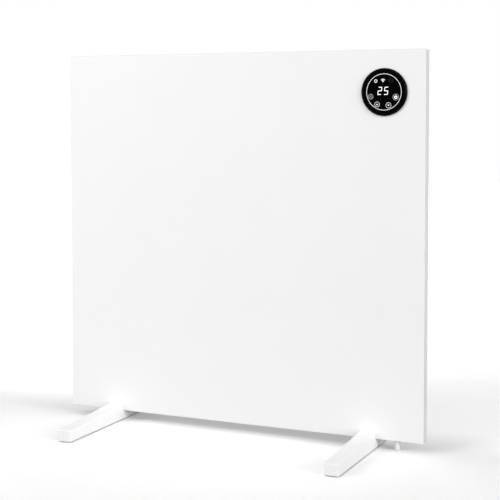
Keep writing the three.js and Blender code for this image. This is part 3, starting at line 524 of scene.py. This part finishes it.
def pressShape(p, surface):
    # the solid that leaves the raised field on a sheet whose face lies at this depth
    x0, x1, z0, z1 = p["field"]
    margin = p["pressMargin"]
    deep, shallow = p["pressDepth"]
    low, high = (x0 - margin, surface - deep, z0 - margin), (x1 + margin, surface - shallow, z1 + margin)
    press = slotBox("press", low, high, p["fieldCorner"] + margin, "y", 8)
    openMesh(press)
    select("FACE", lambda middle, normal: normal.y > 0.9)
    for inward, outward in p["press"]:
        bpy.ops.mesh.inset(thickness=inward * mm, depth=outward * mm)
    closeMesh()
    return press


def makeCover(p):
    plate = startBox("rear_cover_sheet", p["low"], p["high"])
    back = p["high"][1]
    openMesh(plate, "EDGE")
    select("EDGE", lambda a, b: near(a.y, back) and near(b.y, back))
    bevelPicked(p["edgeRound"], 2)
    faceOutward()
    closeMesh()
    combine(plate, [pressShape(p, back)], "UNION")
    x, z, radius = p["window"]
    tools = [pressShape(p, p["low"][1]), rod("hole", "y", radius, *p["windowCut"], (x, 0, z), 64)]
    radius, y0, y1 = p["screwHole"]
    tools += [rod("hole", "y", radius, y0, y1, (x, 0, z), 16) for x, z in coverScrewSpots]
    combine(plate, tools)
    finishPiece(plate, coverCoat, "cover_coat", "heater", "rear_cover", smooth=25)


makeCover(cover)
print("back cover made")


# screws: modelled once, copied to their places

backScrew = {"head": 3, "rise": 1.6, "shank": 1.5, "length": 5.3, "socket": 1.35}
footScrew = {"head": 3.5, "rise": 2.6, "shank": 2, "length": 15, "socket": 1.75}


def makeScrew(name, p, axis, out):
    # out is +1 for a head that points along the axis, -1 for one that points against it
    head, rise, shank = p["head"], p["rise"], p["shank"]
    rim = 0.35          # share of the head's height under its dome, and under its socket
    soft = 0.15         # cut corner under the head
    dome = [(head * math.cos(turn), rise * (rim + (1 - rim) * math.sin(turn)))
            for turn in [math.radians(a) for a in range(0, 90, 15)]]
    profile = [(0, -p["length"]), (shank * 0.6, -p["length"]), (shank, -p["length"] + 1),
               (shank, 0), (head - soft, 0), (head, soft), *dome, (0, rise)]
    screw = turnedPiece(name, axis, (0, 0, 0), [(r, along * out) for r, along in profile], 32)
    socket = rod("socket", axis, p["socket"], rise * rim * out, (rise + 1) * out, (0, 0, 0), 6)
    combine(screw, [socket])
    return screw


def placeScrews(model, places):
    for name, place in places.items():
        twin = copyOf(model, name + "_turned", place)
        finishPiece(twin, steel, "steel", "heater", name, smooth=28)
    bpy.data.objects.remove(model)


coverPlaces = [(x, cover["high"][1] + seat, z) for x, z in coverScrewSpots]
placeScrews(makeScrew("screw", backScrew, "y", 1),
            {f"cover_screw_{i + 1}": place for i, place in enumerate(coverPlaces)})
print("cover screws made")


# feet

bothSides = ((-1, "left"), (1, "right"))
foot = {
    "x": 215, "reach": 167, "width": 23.5, "tipWidth": 21,
    "bottom": 1.5, "height": 26, "tipHeight": 18.5,
    "taperFrom": 9, "round": 1.1, "edgeRound": 0.25,
    "slotHalf": 9.3, "slotBottom": 14.7,
    "pocketHalf": 7.5, "pocketCorner": 1.5, "pockets": ((23, 70), (73, 119.7)), "pocketTops": (20.0, 17.6),
    "pad": (8, 17, 2.5),                            # half width, half length, thickness
    "padY": 140, "padCorner": 7.95, "padRound": 0.4,
    "recessTop": 2.8, "recessCorner": 8.2,
    "screwX": 5.6, "screwZ": 6.1,
    "screwHole": (2.3, 20), "headHole": (3.8, 6.4),     # radius, top
}


def makeFoot(p):
    half = p["width"] / 2
    bar = startBox("foot", (-half, -p["reach"], p["bottom"]), (half, p["reach"], p["height"]))

    def atTip(point):
        return abs(point.y) > p["reach"] / 2

    def onTop(point):
        return point.z > (p["bottom"] + p["height"]) / 2

    def toRound(a, b):
        # the upper edges without the two cuts across the top, and the upright edges at the tips
        crosses = a.x * b.x < 0
        cut = crosses and not (atTip(a) or atTip(b))
        return (onTop(a) and onTop(b) and not cut) or (atTip(a) and atTip(b) and not crosses)

    openMesh(bar)
    for y in (-p["taperFrom"], p["taperFrom"]):
        bpy.ops.mesh.select_all(action="SELECT")
        bpy.ops.mesh.bisect(plane_co=(0, y * mm, 0), plane_no=(0, 1, 0))
    select("VERT", atTip)
    bpy.ops.transform.resize(value=(p["tipWidth"] / p["width"], 1, 1), center_override=(0, 0, 0))
    select("VERT", lambda point: atTip(point) and onTop(point))
    bpy.ops.transform.translate(value=(0, 0, (p["tipHeight"] - p["height"]) * mm))
    select("EDGE", toRound)
    bevelPicked(p["round"], 4)
    closeMesh()
    wide = p["slotHalf"]
    tools = [startBox("slot", (-p["width"], -wide, p["slotBottom"]), (p["width"], wide, 2 * p["height"]))]
    padWide, padLong, _ = p["pad"]
    for way in (-1, 1):
        for (start, end), top in zip(p["pockets"], p["pocketTops"]):
            y0, y1 = sorted((way * start, way * end))
            low, high = (-p["pocketHalf"], y0, -1), (p["pocketHalf"], y1, top)
            tools.append(slotBox("pocket", low, high, p["pocketCorner"], "z", 4))
        y0, y1 = way * p["padY"] - padLong - seat, way * p["padY"] + padLong + seat
        low, high = (-padWide - seat, y0, -1), (padWide + seat, y1, p["recessTop"])
        tools.append(slotBox("recess", low, high, p["recessCorner"], "z", 8))
        for name, (radius, top), sides in (("bore", p["screwHole"], 24), ("counterbore", p["headHole"], 32)):
            tools.append(rod(name, "z", radius, 0, top, (way * p["screwX"], 0, 0), sides))
    combine(bar, tools)
    roundEdges(bar, p["edgeRound"], 2, 60)
    return bar


footModel = makeFoot(foot)
for side, label in bothSides:
    twin = copyOf(footModel, f"foot_{label}_moulding", (side * foot["x"], 0, 0))
    finishPiece(twin, footPlastic, "white_plastic", "heater", f"foot_{label}", smooth=28)
bpy.data.objects.remove(footModel)

padWide, padLong, padThick = foot["pad"]
padModel = slotBox("pad", (-padWide, -padLong, 0), (padWide, padLong, padThick), foot["padCorner"], "z", 10)
roundEdges(padModel, foot["padRound"], 3, 50)
for side, label in bothSides:
    for way, turn in ((-1, "front"), (1, "rear")):
        name = f"foot_pad_{label}_{turn}"
        twin = copyOf(padModel, name + "_moulding", (side * foot["x"], way * foot["padY"], 0))
        finishPiece(twin, rubber, "rubber", "heater", name)
bpy.data.objects.remove(padModel)

footScrewPlaces = {f"foot_screw_{label}_{screw}":
                   (side * (foot["x"] + way * foot["screwX"]), 0, foot["screwZ"])
                   for side, label in bothSides
                   for way, screw in ((1, "outer"), (-1, "inner"))}
placeScrews(makeScrew("screw", footScrew, "z", -1), footScrewPlaces)
print("feet made")


# tip-over pin

tipPin = {"at": (257.5, 0.55), "radius": 4, "endRound": 0.6, "stub": 26, "flange": (7, 3.85, 2),
          "flangeCorner": 0.8, "stem": 2, "top": 44, "topCut": 0.4}


def makeTipPin(p):
    x, y = p["at"]
    r, stub, stem, top = p["radius"], p["stub"], p["stem"], p["top"]
    soft, cut = p["endRound"], p["topCut"]
    wide, deep, thick = p["flange"]
    end = [(r - soft + soft * math.sin(a), soft - soft * math.cos(a))
           for a in [i * math.pi / 8 for i in range(5)]]
    profile = [(0, 0), *end, (r, stub + thick / 2), (stem, stub + thick / 2),
               (stem, top - cut), (stem - cut, top), (0, top)]
    pin = turnedPiece("tip_plunger_turned", "z", (x, y, 0), profile, 48)
    low, high = (x - wide, y - deep, stub), (x + wide, y + deep, stub + thick)
    combine(pin, [slotBox("flange", low, high, p["flangeCorner"], "z", 3)], "UNION")
    finishPiece(pin, footPlastic, "white_plastic", "tip_pin", "tip_plunger", smooth=28)


makeTipPin(tipPin)
print("tip pin made")


# round display

display = {
    "x": 238, "z": 529, "face": -11.8, "glassFace": -11.7, "glassThickness": 1.2,
    "radius": 35, "edge": 0.9, "lipCut": 0.15,
    "glassRadius": 33.2, "glassRound": 0.35,
    # radii of the bezel's inner shape, from the opening to the recess of the glass
    "opening": 14, "cavity": 26.7, "ledge": 28.7, "neck": 30.7, "recess": 33.5,
    # depths of the bezel's flange, step, floor and rear
    "flangeBack": -9.3, "step": -4.4, "floor": -2, "rear": 0,
    "markDepth": 0.03, "markGap": 0.005,
    "ring": (-0.15, 0.1, 26.8, 26.05),            # x, z, outer and inner radius
    "digits": {"2": (-6.4, 1.7, "abged"), "5": (3.25, 1.7, "afgcd")},
    "digitHeight": 11.7, "digitWidth": 6.2, "stroke": 1.15, "slant": 7, "segmentGap": 0.5,
}


def softCorner(radius, y, size, steps=5):
    # points of a rounded outer corner, from the side to the front
    turns = [math.pi / 2 * i / steps for i in range(steps + 1)]
    return [(radius - size + size * math.cos(a), y + size - size * math.sin(a)) for a in turns]


def makeDisplay(p):
    centre = (p["x"], 0, p["z"])
    front, glass = p["face"], p["glassFace"]
    glassBack = glass + p["glassThickness"]
    glassSeat = glassBack + seat
    ledge, recess, cut = p["ledge"], p["recess"], p["lipCut"]
    profile = [(ledge, glassSeat), (recess, glassSeat), (recess, front + cut), (recess + cut, front),
               *reversed(softCorner(p["radius"], front, p["edge"])),
               (p["radius"], p["flangeBack"]), (p["neck"], p["flangeBack"]), (p["neck"], p["rear"]),
               (p["opening"], p["rear"]), (p["opening"], p["floor"]), (p["cavity"], p["floor"]),
               (p["cavity"], p["step"]), (ledge, p["step"]), (ledge, glassSeat)]
    bezel = turnedPiece("display_bezel_ring", "y", centre, profile, 128)
    finishPiece(bezel, bezelPlastic, "black_plastic", "heater", "display_bezel", smooth=28)
    r, edge = p["glassRadius"], p["glassRound"]
    profile = [(0, glass), *reversed(softCorner(r, glass, edge, 4)), (r, glassBack), (0, glassBack)]
    pane = turnedPiece("display_glass_pane", "y", centre, profile, 128)
    # the polished round of the rim catches the light, the flat of the glass hardly does
    pane.data.materials.append(blackGlass)
    pane.data.materials.append(glassEdge)
    for face in pane.data.polygons:
        across = math.hypot(face.center.x - centre[0] * mm, face.center.z - centre[2] * mm)
        onRound = across > (r - edge) * mm and -0.97 < face.normal.y < -0.2
        face.material_index = 1 if onRound else 0
    finishPiece(pane, blackGlass, "black_glass", "heater", "display_glass", smooth=28)


def markPlace(x, z):
    # a place just in front of the glass, from the display's middle
    return display["x"] + x, display["glassFace"] - display["markGap"], display["z"] + z


def thicken(piece):
    openMesh(piece)
    bpy.ops.mesh.select_all(action="SELECT")
    extrudeBy(y=-display["markDepth"])
    faceOutward()
    closeMesh()
    return piece


def ringMark(x, z, outer, inner, sides, keep=None):
    # a flat ring, or the part of one whose angle is kept
    ring = startDisc("ring", markPlace(x, z), outer, "y", sides)
    openMesh(ring)
    bpy.ops.mesh.select_all(action="SELECT")
    bpy.ops.mesh.inset(thickness=(outer - inner) * mm)
    bpy.ops.mesh.delete(type="FACE")
    if keep:
        atX, _, atZ = markPlace(x, z)

        def leftOut(middle, normal):
            return not keep(math.degrees(math.atan2(middle.z - atZ, middle.x - atX)) % 360)

        select("FACE", leftOut)
        bpy.ops.mesh.delete(type="FACE")
    closeMesh()
    return thicken(ring)


def dotMark(x, z, radius):
    return thicken(startDisc("dot", markPlace(x, z), radius, "y", 32))


def shapeMark(points):
    return cutShape("shape", [markPlace(x, z) for x, z in points], -display["markDepth"])


def barMark(x, z, length, width, lean=0):
    # a segment with cut corners, upright before it leans over clockwise, in degrees
    a, b, c = length / 2, width / 2, width * 0.28
    outline = [(-b, -a + c), (-b + c, -a), (b - c, -a), (b, -a + c),
               (b, a - c), (b - c, a), (-b + c, a), (-b, a - c)]
    sin, cos = math.sin(math.radians(lean)), math.cos(math.radians(lean))
    return shapeMark([(x + u * cos + v * sin, z + v * cos - u * sin) for u, v in outline])


def digitMarks(p):
    thick, slant = p["stroke"], p["slant"]
    high, wide = (p["digitHeight"] - thick) / 2, (p["digitWidth"] - thick) / 2
    flat, upright = 2 * wide - p["segmentGap"], high - p["segmentGap"]
    # x, z, length and turn of each segment, from the digit's middle
    segments = {"a": (0, high, flat, 90), "g": (0, 0, flat, 90), "d": (0, -high, flat, 90),
                "f": (-wide, high / 2, upright, slant), "b": (wide, high / 2, upright, slant),
                "e": (-wide, -high / 2, upright, slant), "c": (wide, -high / 2, upright, slant)}
    lean = math.tan(math.radians(slant))
    marks = []
    for x, z, lit in p["digits"].values():
        for segment in lit:
            u, v, length, turn = segments[segment]
            marks.append(barMark(x + u + v * lean, z + v, length + thick * 0.5, thick, turn))
    return marks


def triangle(x, z, size, way):
    tip = size * way
    return shapeMark([(x - size, z - tip * 0.6), (x + size, z - tip * 0.6), (x, z + tip * 0.8)])


def makeMarks(p):
    x, z, outer, inner = p["ring"]
    groups = {
        "display_ring_mark": (litRing, [ringMark(x, z, outer, inner, 128)]),
        "display_digits": (litWhite, digitMarks(p)),
        "display_heat_mark": (litRing, [ringMark(-12.6, 16.1, 2.45, 1.4, 40)]),
        "display_signal_mark": (litRing, [ringMark(-1.6, 14.7, radius, radius - 1.0, 64, lambda a: 44 < a < 136)
                                          for radius in (4.6, 3.1)] + [dotMark(-1.6, 15.4, 0.95)]),
        "display_unlit_mark": (unlitGrey, [ringMark(10.5, 16.9, 3.4, 2.6, 40),
                                           barMark(10.5, 16.9, 2.6, 0.8, 20)]),
        "display_timer_key": (litGrey, [ringMark(-20.3, -6.7, 3.9, 3.0, 48), barMark(-20.3, -5.6, 2.8, 0.9),
                                        barMark(-19.4, -7.2, 2.6, 0.9, 115),
                                        barMark(-21.2, -7.2, 2.6, 0.9, 65)]),
        "display_power_key": (litGrey, [ringMark(17.9, -7.5, 4.75, 4.0, 48)]),
        "display_power_sign": (litWhite, [ringMark(17.9, -7.7, 2.5, 1.3, 48, lambda a: not 62 < a < 118),
                                          barMark(17.9, -6.2, 3.2, 1.1)]),
        "display_up_key": (litRing, [ringMark(-10.5, -18.0, 3.95, 3.4, 48)]),
        "display_up_arrow": (litWhite, [triangle(-10.5, -18.1, 1.6, 1)]),
        "display_down_key": (litRing, [ringMark(6.9, -19.4, 4.2, 3.65, 48)]),
        "display_down_arrow": (litWhite, [triangle(6.9, -19.3, 1.6, -1)]),
    }
    for name, (finish, marks) in groups.items():
        finishPiece(joinAll(name, marks), finish, "module_white", "heater")


makeDisplay(display)
makeMarks(display)
print("display made")


# control box on the back

box = {
    "low": (184, 8, 432), "high": (280, 32, 568),
    "corner": 6, "backRound": 2.5, "wall": 2, "edgeRound": 0.25,
    "post": 4, "postHole": 1.8, "postX": (192, 272), "postZ": (440, 560),
    "cutDepth": 4,                          # how far the openings are cut into the box
    "vents": {"x": (208, 256), "first": 520, "pitch": 6, "count": 6, "width": 2.5},
    "switchHole": (237.3, 250.7, 456.2, 475.8),
    "gland": (210, 20, 6.3),
}


def makeBox(p):
    shell = startBox("control_box_shell", p["low"], p["high"])
    _, y0, z0 = p["low"]
    y1 = p["high"][1]
    openMesh(shell)
    select("FACE", lambda middle, normal: normal.y < -0.9)
    bpy.ops.mesh.delete(type="FACE")
    select("EDGE", lambda a, b: abs(a.y - b.y) > 1)
    bevelPicked(p["corner"], 8)
    select("EDGE", lambda a, b: near(a.y, y1) and near(b.y, y1))
    bevelPicked(p["backRound"], 5)
    closeMesh()
    change = shell.modifiers.new("wall", "SOLIDIFY")
    change.thickness = p["wall"] * mm
    change.offset = -1
    change.use_even_offset = True
    pick(shell)
    bpy.ops.object.modifier_apply(modifier="wall")
    openMesh(shell)
    faceOutward()
    closeMesh()
    spots = [(x, z) for x in p["postX"] for z in p["postZ"]]
    combine(shell, [rod("post", "y", p["post"], y0, y1 - 1, (x, 0, z), 32) for x, z in spots], "UNION")
    tools = [rod("bore", "y", p["postHole"], y0 - 1, y1 + 1, (x, 0, z), 24) for x, z in spots]
    vents, deep = p["vents"], p["cutDepth"]
    for i in range(vents["count"]):
        z = vents["first"] + i * vents["pitch"]
        low, high = (vents["x"][0], y1 - deep, z), (vents["x"][1], y1 + 1, z + vents["width"])
        # the ends are rounded to just short of a half circle
        tools.append(slotBox("vent", low, high, vents["width"] / 2 - 0.02, "y", 6))
    left, right, bottom, top = p["switchHole"]
    tools.append(startBox("opening", (left, y1 - deep, bottom), (right, y1 + 1, top)))
    x, y, radius = p["gland"]
    tools.append(rod("bore", "z", radius, z0 - 1, z0 + deep, (x, y, 0), 40))
    combine(shell, tools)
    roundEdges(shell, p["edgeRound"], 2, 50)
    finishPiece(shell, boxPlastic, "white_plastic", "heater", "control_box", smooth=28)


makeBox(box)
boxScrew = {"head": 3, "rise": 1.8, "shank": 1.5, "length": 27.4, "socket": 1.35}
(postLeft, postRight), (postLow, postHigh) = box["postX"], box["postZ"]
boxPlaces = [(postLeft, postLow), (postRight, postLow), (postRight, postHigh), (postLeft, postHigh)]
placeScrews(makeScrew("screw", boxScrew, "y", 1),
            {f"box_screw_{i + 1}": (x, box["high"][1] + seat, z) for i, (x, z) in enumerate(boxPlaces)})
print("control box made")


# main switch

switch = {
    "x": 244, "z": 466, "face": 33.8,
    "flange": (7.5, 10.5, 1.5), "flangeCorner": 1.5, "faceRound": 0.5, "edgeRound": 0.12,
    "body": (6.4, 9.5, 18),
    "blades": (2.4, 0.4, 4, 3),             # half width, half thickness, distance from the middle, length
    "pocket": (5.3, 9.0, 26.7), "pivot": 30.4, "tilt": 8,
    "pinHole": (1.3, 6.35), "pin": (1, 6.1),      # radius, half length
    "rocker": (5, 8, 4.2, 2.6, 2.5),        # half width, half height, end, middle, skirt
    "rockerRound": 0.3,
    "on": (0.4, 3.4, 6.2),                  # half width, from and to above the middle
    "off": (4.8, 1.5, 0.55),                # distance below the middle, radius, line
    "markRise": 0.17, "markThickness": 0.3,
}


def makeSwitch(p):
    x, z, face = p["x"], p["z"], p["face"]
    wide, high, thick = p["flange"]
    bezel = slotBox("switch_frame_moulding", (x - wide, face - thick, z - high), (x + wide, face, z + high),
                    p["flangeCorner"], "y", 5)
    openMesh(bezel, "EDGE")
    select("EDGE", lambda a, b: near(a.y, face) and near(b.y, face))
    bevelPicked(p["faceRound"], 3)
    closeMesh()
    wide, high, start = p["body"]
    body = startBox("body", (x - wide, start, z - high), (x + wide, face - thick / 2, z + high))
    bladeWide, bladeHigh, apart, length = p["blades"]
    blades = [startBox("blade", (x - bladeWide, start - length, z + way * apart - bladeHigh),
                       (x + bladeWide, start + 1, z + way * apart + bladeHigh)) for way in (-1, 1)]
    combine(bezel, [body, *blades], "UNION")
    wide, high, start = p["pocket"]
    pocket = startBox("pocket", (x - wide, start, z - high), (x + wide, face + 3, z + high))
    radius, half = p["pinHole"]
    pinHole = rod("pin", "x", radius, x - half, x + half, (0, p["pivot"], z), 24)
    combine(bezel, [pocket, pinHole])
    roundEdges(bezel, p["edgeRound"], 2, 60)
    finishPiece(bezel, blackPlastic, "black_plastic", "heater", "switch_frame", smooth=28)


def tipOver(piece):
    # the rocker's own tilt, about its pin
    openMesh(piece)
    bpy.ops.mesh.select_all(action="SELECT")
    centre = Vector((switch["x"], switch["pivot"], switch["z"])) * mm
    bpy.ops.transform.rotate(value=-math.radians(switch["tilt"]), orient_axis="X", center_override=centre)
    closeMesh()
    return piece


def makeRocker(p):
    half, reach, end, middle, skirt = p["rocker"]
    x, y, z = p["x"], p["pivot"], p["z"]
    hollow = [(reach * u, middle + (end - middle) * u * u) for u in [1 - i / 8 for i in range(17)]]
    outline = [(-reach, skirt * 0.4), (-reach / 2, -skirt), (reach / 2, -skirt), (reach, skirt * 0.4),
               *hollow]
    paddle = cutShape("switch_rocker_moulding",
                      [(x - half, y + rise, z + along) for along, rise in outline], 2 * half, "x")
    roundEdges(paddle, p["rockerRound"], 3, 45)
    radius, pinHalf = p["pin"]
    combine(paddle, [rod("pin", "x", radius, x - pinHalf, x + pinHalf, (0, y, z), 24)], "UNION")
    finishPiece(tipOver(paddle), blackPlastic, "black_plastic", "rocker", "switch_rocker", smooth=28)
    # the marks for on and off stand a little proud of the hollow face
    wide, low, high = p["on"]
    apart, radius, line = p["off"]
    thick = p["markThickness"]
    face = y + middle + (end - middle) * (apart / reach) ** 2 + p["markRise"]
    on = startBox("on", (x - wide, face - thick, z + low), (x + wide, face, z + high))
    ring = startDisc("off", (x, face, z - apart), radius, "y", 40)
    openMesh(ring)
    bpy.ops.mesh.select_all(action="SELECT")
    bpy.ops.mesh.inset(thickness=line * mm)
    bpy.ops.mesh.delete(type="FACE")
    bpy.ops.mesh.select_all(action="SELECT")
    extrudeBy(y=-thick)
    faceOutward()
    closeMesh()
    marks = tipOver(joinAll("switch_rocker_marks", [on, ring]))
    finishPiece(marks, moduleWhite, "module_white", "rocker")


makeSwitch(switch)
makeRocker(switch)
print("switch made")


# cord gland

gland = {"x": 210, "y": 20, "top": 432, "length": 15, "bore": 3.6, "neck": 6, "tip": 5.6, "collar": 9,
         "ribs": {"first": 1.2, "pitch": 2.0, "count": 5, "groove": 0.7}}


def makeGland(p):
    bore, neck, tip, collar, length = p["bore"], p["neck"], p["tip"], p["collar"], p["length"]
    row = p["ribs"]
    ribs = []
    for i in range(row["count"]):            # ribs along the nose, a little wider towards the neck
        along = -length + row["first"] + i * row["pitch"]
        size = tip + (neck - tip) * i / row["count"]
        groove = size - row["groove"]
        ribs += [(size, along), (size, along + 1.1), (groove, along + 1.25), (groove, along + 1.85)]
    profile = [(bore, -length), (tip - 0.5, -length), (tip, -length + 0.5), *ribs, (neck, -3.7),
               (collar - 0.5, -3.2), (collar, -2.7), (collar, -0.7), (collar - 0.3, -0.3), (neck, -0.3),
               (neck, 2.3), (6.8, 2.3), (neck, 4.3), (bore, 4.3), (bore, -length)]
    bush = turnedPiece("cord_gland_bush", "z", (p["x"], p["y"], p["top"]), profile, 64)
    finishPiece(bush, blackPlastic, "black_plastic", "heater", "cord_gland", smooth=35)


makeGland(gland)
print("gland made")


# finishes for the frame's own pieces

slotFinishes = {
    "white_coat": whiteCoat, "cover_coat": coverCoat, "white_plastic": footPlastic,
    "black_plastic": blackPlastic, "black_glass": blackGlass, "rubber": rubber, "steel": steel,
    "copper": copper, "foil": foil, "film": film, "wool": wool, "circuit_board": circuitBoard,
    "module_white": moduleWhite, "relay_blue": relayBlue, "transformer_yellow": transformerYellow,
    "terminal_green": terminalGreen, "lead_sleeve": leadSleeve, "ribbon_grey": ribbon, "foam": foam,
}
slotOf = {row["node"]: row["material_slot"] for row in frame["record"]["subparts"]}
for name, node in frame["nodes"].items():
    finish = slotFinishes[slotOf[name]]
    if not node.material_slots:
        node.data.materials.append(finish)
    for place in node.material_slots:
        place.material = finish
print("frame finished")


# floor, light and camera

studio = {
    "floorSize": 14, "floorGrain": 25, "floorShade": 0.96, "floorBounce": 0.37,
    "floorLiftAndPaintedLight": (0.165, 0.60),             # in front of the panel, and behind it, where the stronger lift is painted light that takes away the panel's shadow
    "paintedLightRamp": (0.02, 0.13),               # where the lift starts and ends to change, in metres
    "world": 0.235,
    # direction towards each light, its strength and its width in degrees
    "suns": {
        "sky_sun": ((-0.20, -0.70, 0.68), 0.78, 100),
        "key_sun": ((-0.55, -0.70, 0.45), 0.78, 30),
        "front_sun": ((0.80, -0.57, 0.20), 1.00, 40),
        "side_sun": ((0.95, -0.22, 0.22), 1.28, 20),
        "back_sun": ((-0.35, 0.93, 0.14), 0.75, 16),
    },
    # a soft lamp near the upper left corner, which fades across the panel
    "lamp": {"at": (-1.6, -1.4, 1.3), "aim": (0, 0, 0.35), "size": 1.2, "power": 9},
}
view = {"at": (0.7871, -1.7159, 0.4967), "pitch": 2.625, "turn": 0.4211, "lens": 87.67, "shift": -0.16,
        "sensor": 36, "far": 60}


def chooseBySight(tree, unseen, seenShader, out):
    # one shader for what the camera and glossy surfaces see, another for all other rays
    ray = tree.nodes.new("ShaderNodeLightPath")
    seen = tree.nodes.new("ShaderNodeMath")
    seen.operation = "MAXIMUM"
    tree.links.new(ray.outputs["Is Camera Ray"], seen.inputs[0])
    tree.links.new(ray.outputs["Is Glossy Ray"], seen.inputs[1])
    choose = tree.nodes.new("ShaderNodeMixShader")
    tree.links.new(seen.outputs["Value"], choose.inputs["Fac"])
    tree.links.new(unseen, choose.inputs[1])
    tree.links.new(seenShader, choose.inputs[2])
    tree.links.new(choose.outputs["Shader"], out.inputs["Surface"])


def makeFloor(p):
    clearSelection()
    bpy.ops.mesh.primitive_plane_add(size=p["floorSize"], location=(0, 0, -0.0002))
    floor = nameIt("studio_floor")
    finish = bpy.data.materials.new("pale_floor")
    finish.use_nodes = True
    tree = finish.node_tree
    tree.nodes.clear()
    out = tree.nodes.new("ShaderNodeOutputMaterial")
    dull = tree.nodes.new("ShaderNodeBsdfDiffuse")
    dull.inputs["Color"].default_value = (*[p["floorBounce"]] * 3, 1)
    matte = tree.nodes.new("ShaderNodeBsdfDiffuse")
    grain = pattern(tree, "ShaderNodeTexNoise", p["floorGrain"]).outputs["Fac"]
    shade = p["floorShade"]
    tint = blendColours(tree, spread(tree, grain, 0, 1), [shade * 0.995] * 3, [shade] * 3)
    tree.links.new(tint, matte.inputs["Color"])
    lift = tree.nodes.new("ShaderNodeBsdfDiffuse")
    place = tree.nodes.new("ShaderNodeTexCoord")
    parts = tree.nodes.new("ShaderNodeSeparateXYZ")
    tree.links.new(place.outputs["Object"], parts.inputs[0])
    # painted light: the floor is made lighter behind the panel, which takes away the panel's shadow there
    share = spread(tree, parts.outputs["Y"], 0, 1, *p["paintedLightRamp"])
    front, behind = [[value] * 3 for value in p["floorLiftAndPaintedLight"]]
    tree.links.new(blendColours(tree, share, front, behind), lift.inputs["Color"])
    both = tree.nodes.new("ShaderNodeAddShader")
    tree.links.new(matte.outputs["BSDF"], both.inputs[0])
    tree.links.new(lift.outputs["BSDF"], both.inputs[1])
    chooseBySight(tree, dull.outputs["BSDF"], both.outputs["Shader"], out)
    floor.data.materials.append(finish)


def makeWorld(p):
    world = bpy.data.worlds.new("studio")
    world.use_nodes = True
    tree = world.node_tree
    tree.nodes.clear()
    out = tree.nodes.new("ShaderNodeOutputWorld")
    lit = tree.nodes.new("ShaderNodeBackground")
    lit.inputs["Strength"].default_value = p["world"]
    lit.inputs["Color"].default_value = (1, 1, 1, 1)
    white = tree.nodes.new("ShaderNodeBackground")
    white.inputs["Color"].default_value = (1, 1, 1, 1)
    chooseBySight(tree, lit.outputs["Background"], white.outputs["Background"], out)
    bpy.context.scene.world = world


def makeSun(name, towards, strength, width):
    clearSelection()
    bpy.ops.object.light_add(type="SUN", location=Vector(towards) * 3)
    sun = bpy.context.object
    sun.name = name
    sun.data.energy = strength
    sun.data.angle = math.radians(width)
    sun.rotation_euler = Vector(towards).to_track_quat("Z", "Y").to_euler()


def makeLamp(name, p):
    clearSelection()
    bpy.ops.object.light_add(type="AREA", location=p["at"])
    lamp = bpy.context.object
    lamp.name = name
    lamp.data.size = p["size"]
    lamp.data.energy = p["power"]
    lamp.rotation_euler = (Vector(p["at"]) - Vector(p["aim"])).to_track_quat("Z", "Y").to_euler()


def makeCamera(p):
    clearSelection()
    bpy.ops.object.camera_add(location=p["at"], rotation=(math.radians(90 - p["pitch"]), 0, p["turn"]))
    camera = bpy.context.object
    camera.data.lens = p["lens"]
    camera.data.sensor_width = p["sensor"]
    camera.data.shift_y = p["shift"]
    camera.data.clip_end = p["far"]
    bpy.context.scene.camera = camera


makeFloor(studio)
makeWorld(studio)
for name, (towards, strength, width) in studio["suns"].items():
    makeSun(name, towards, strength, width)
makeLamp("corner_lamp", studio["lamp"])
makeCamera(view)
bpy.context.scene.view_settings.view_transform = "Standard"
print("studio made")
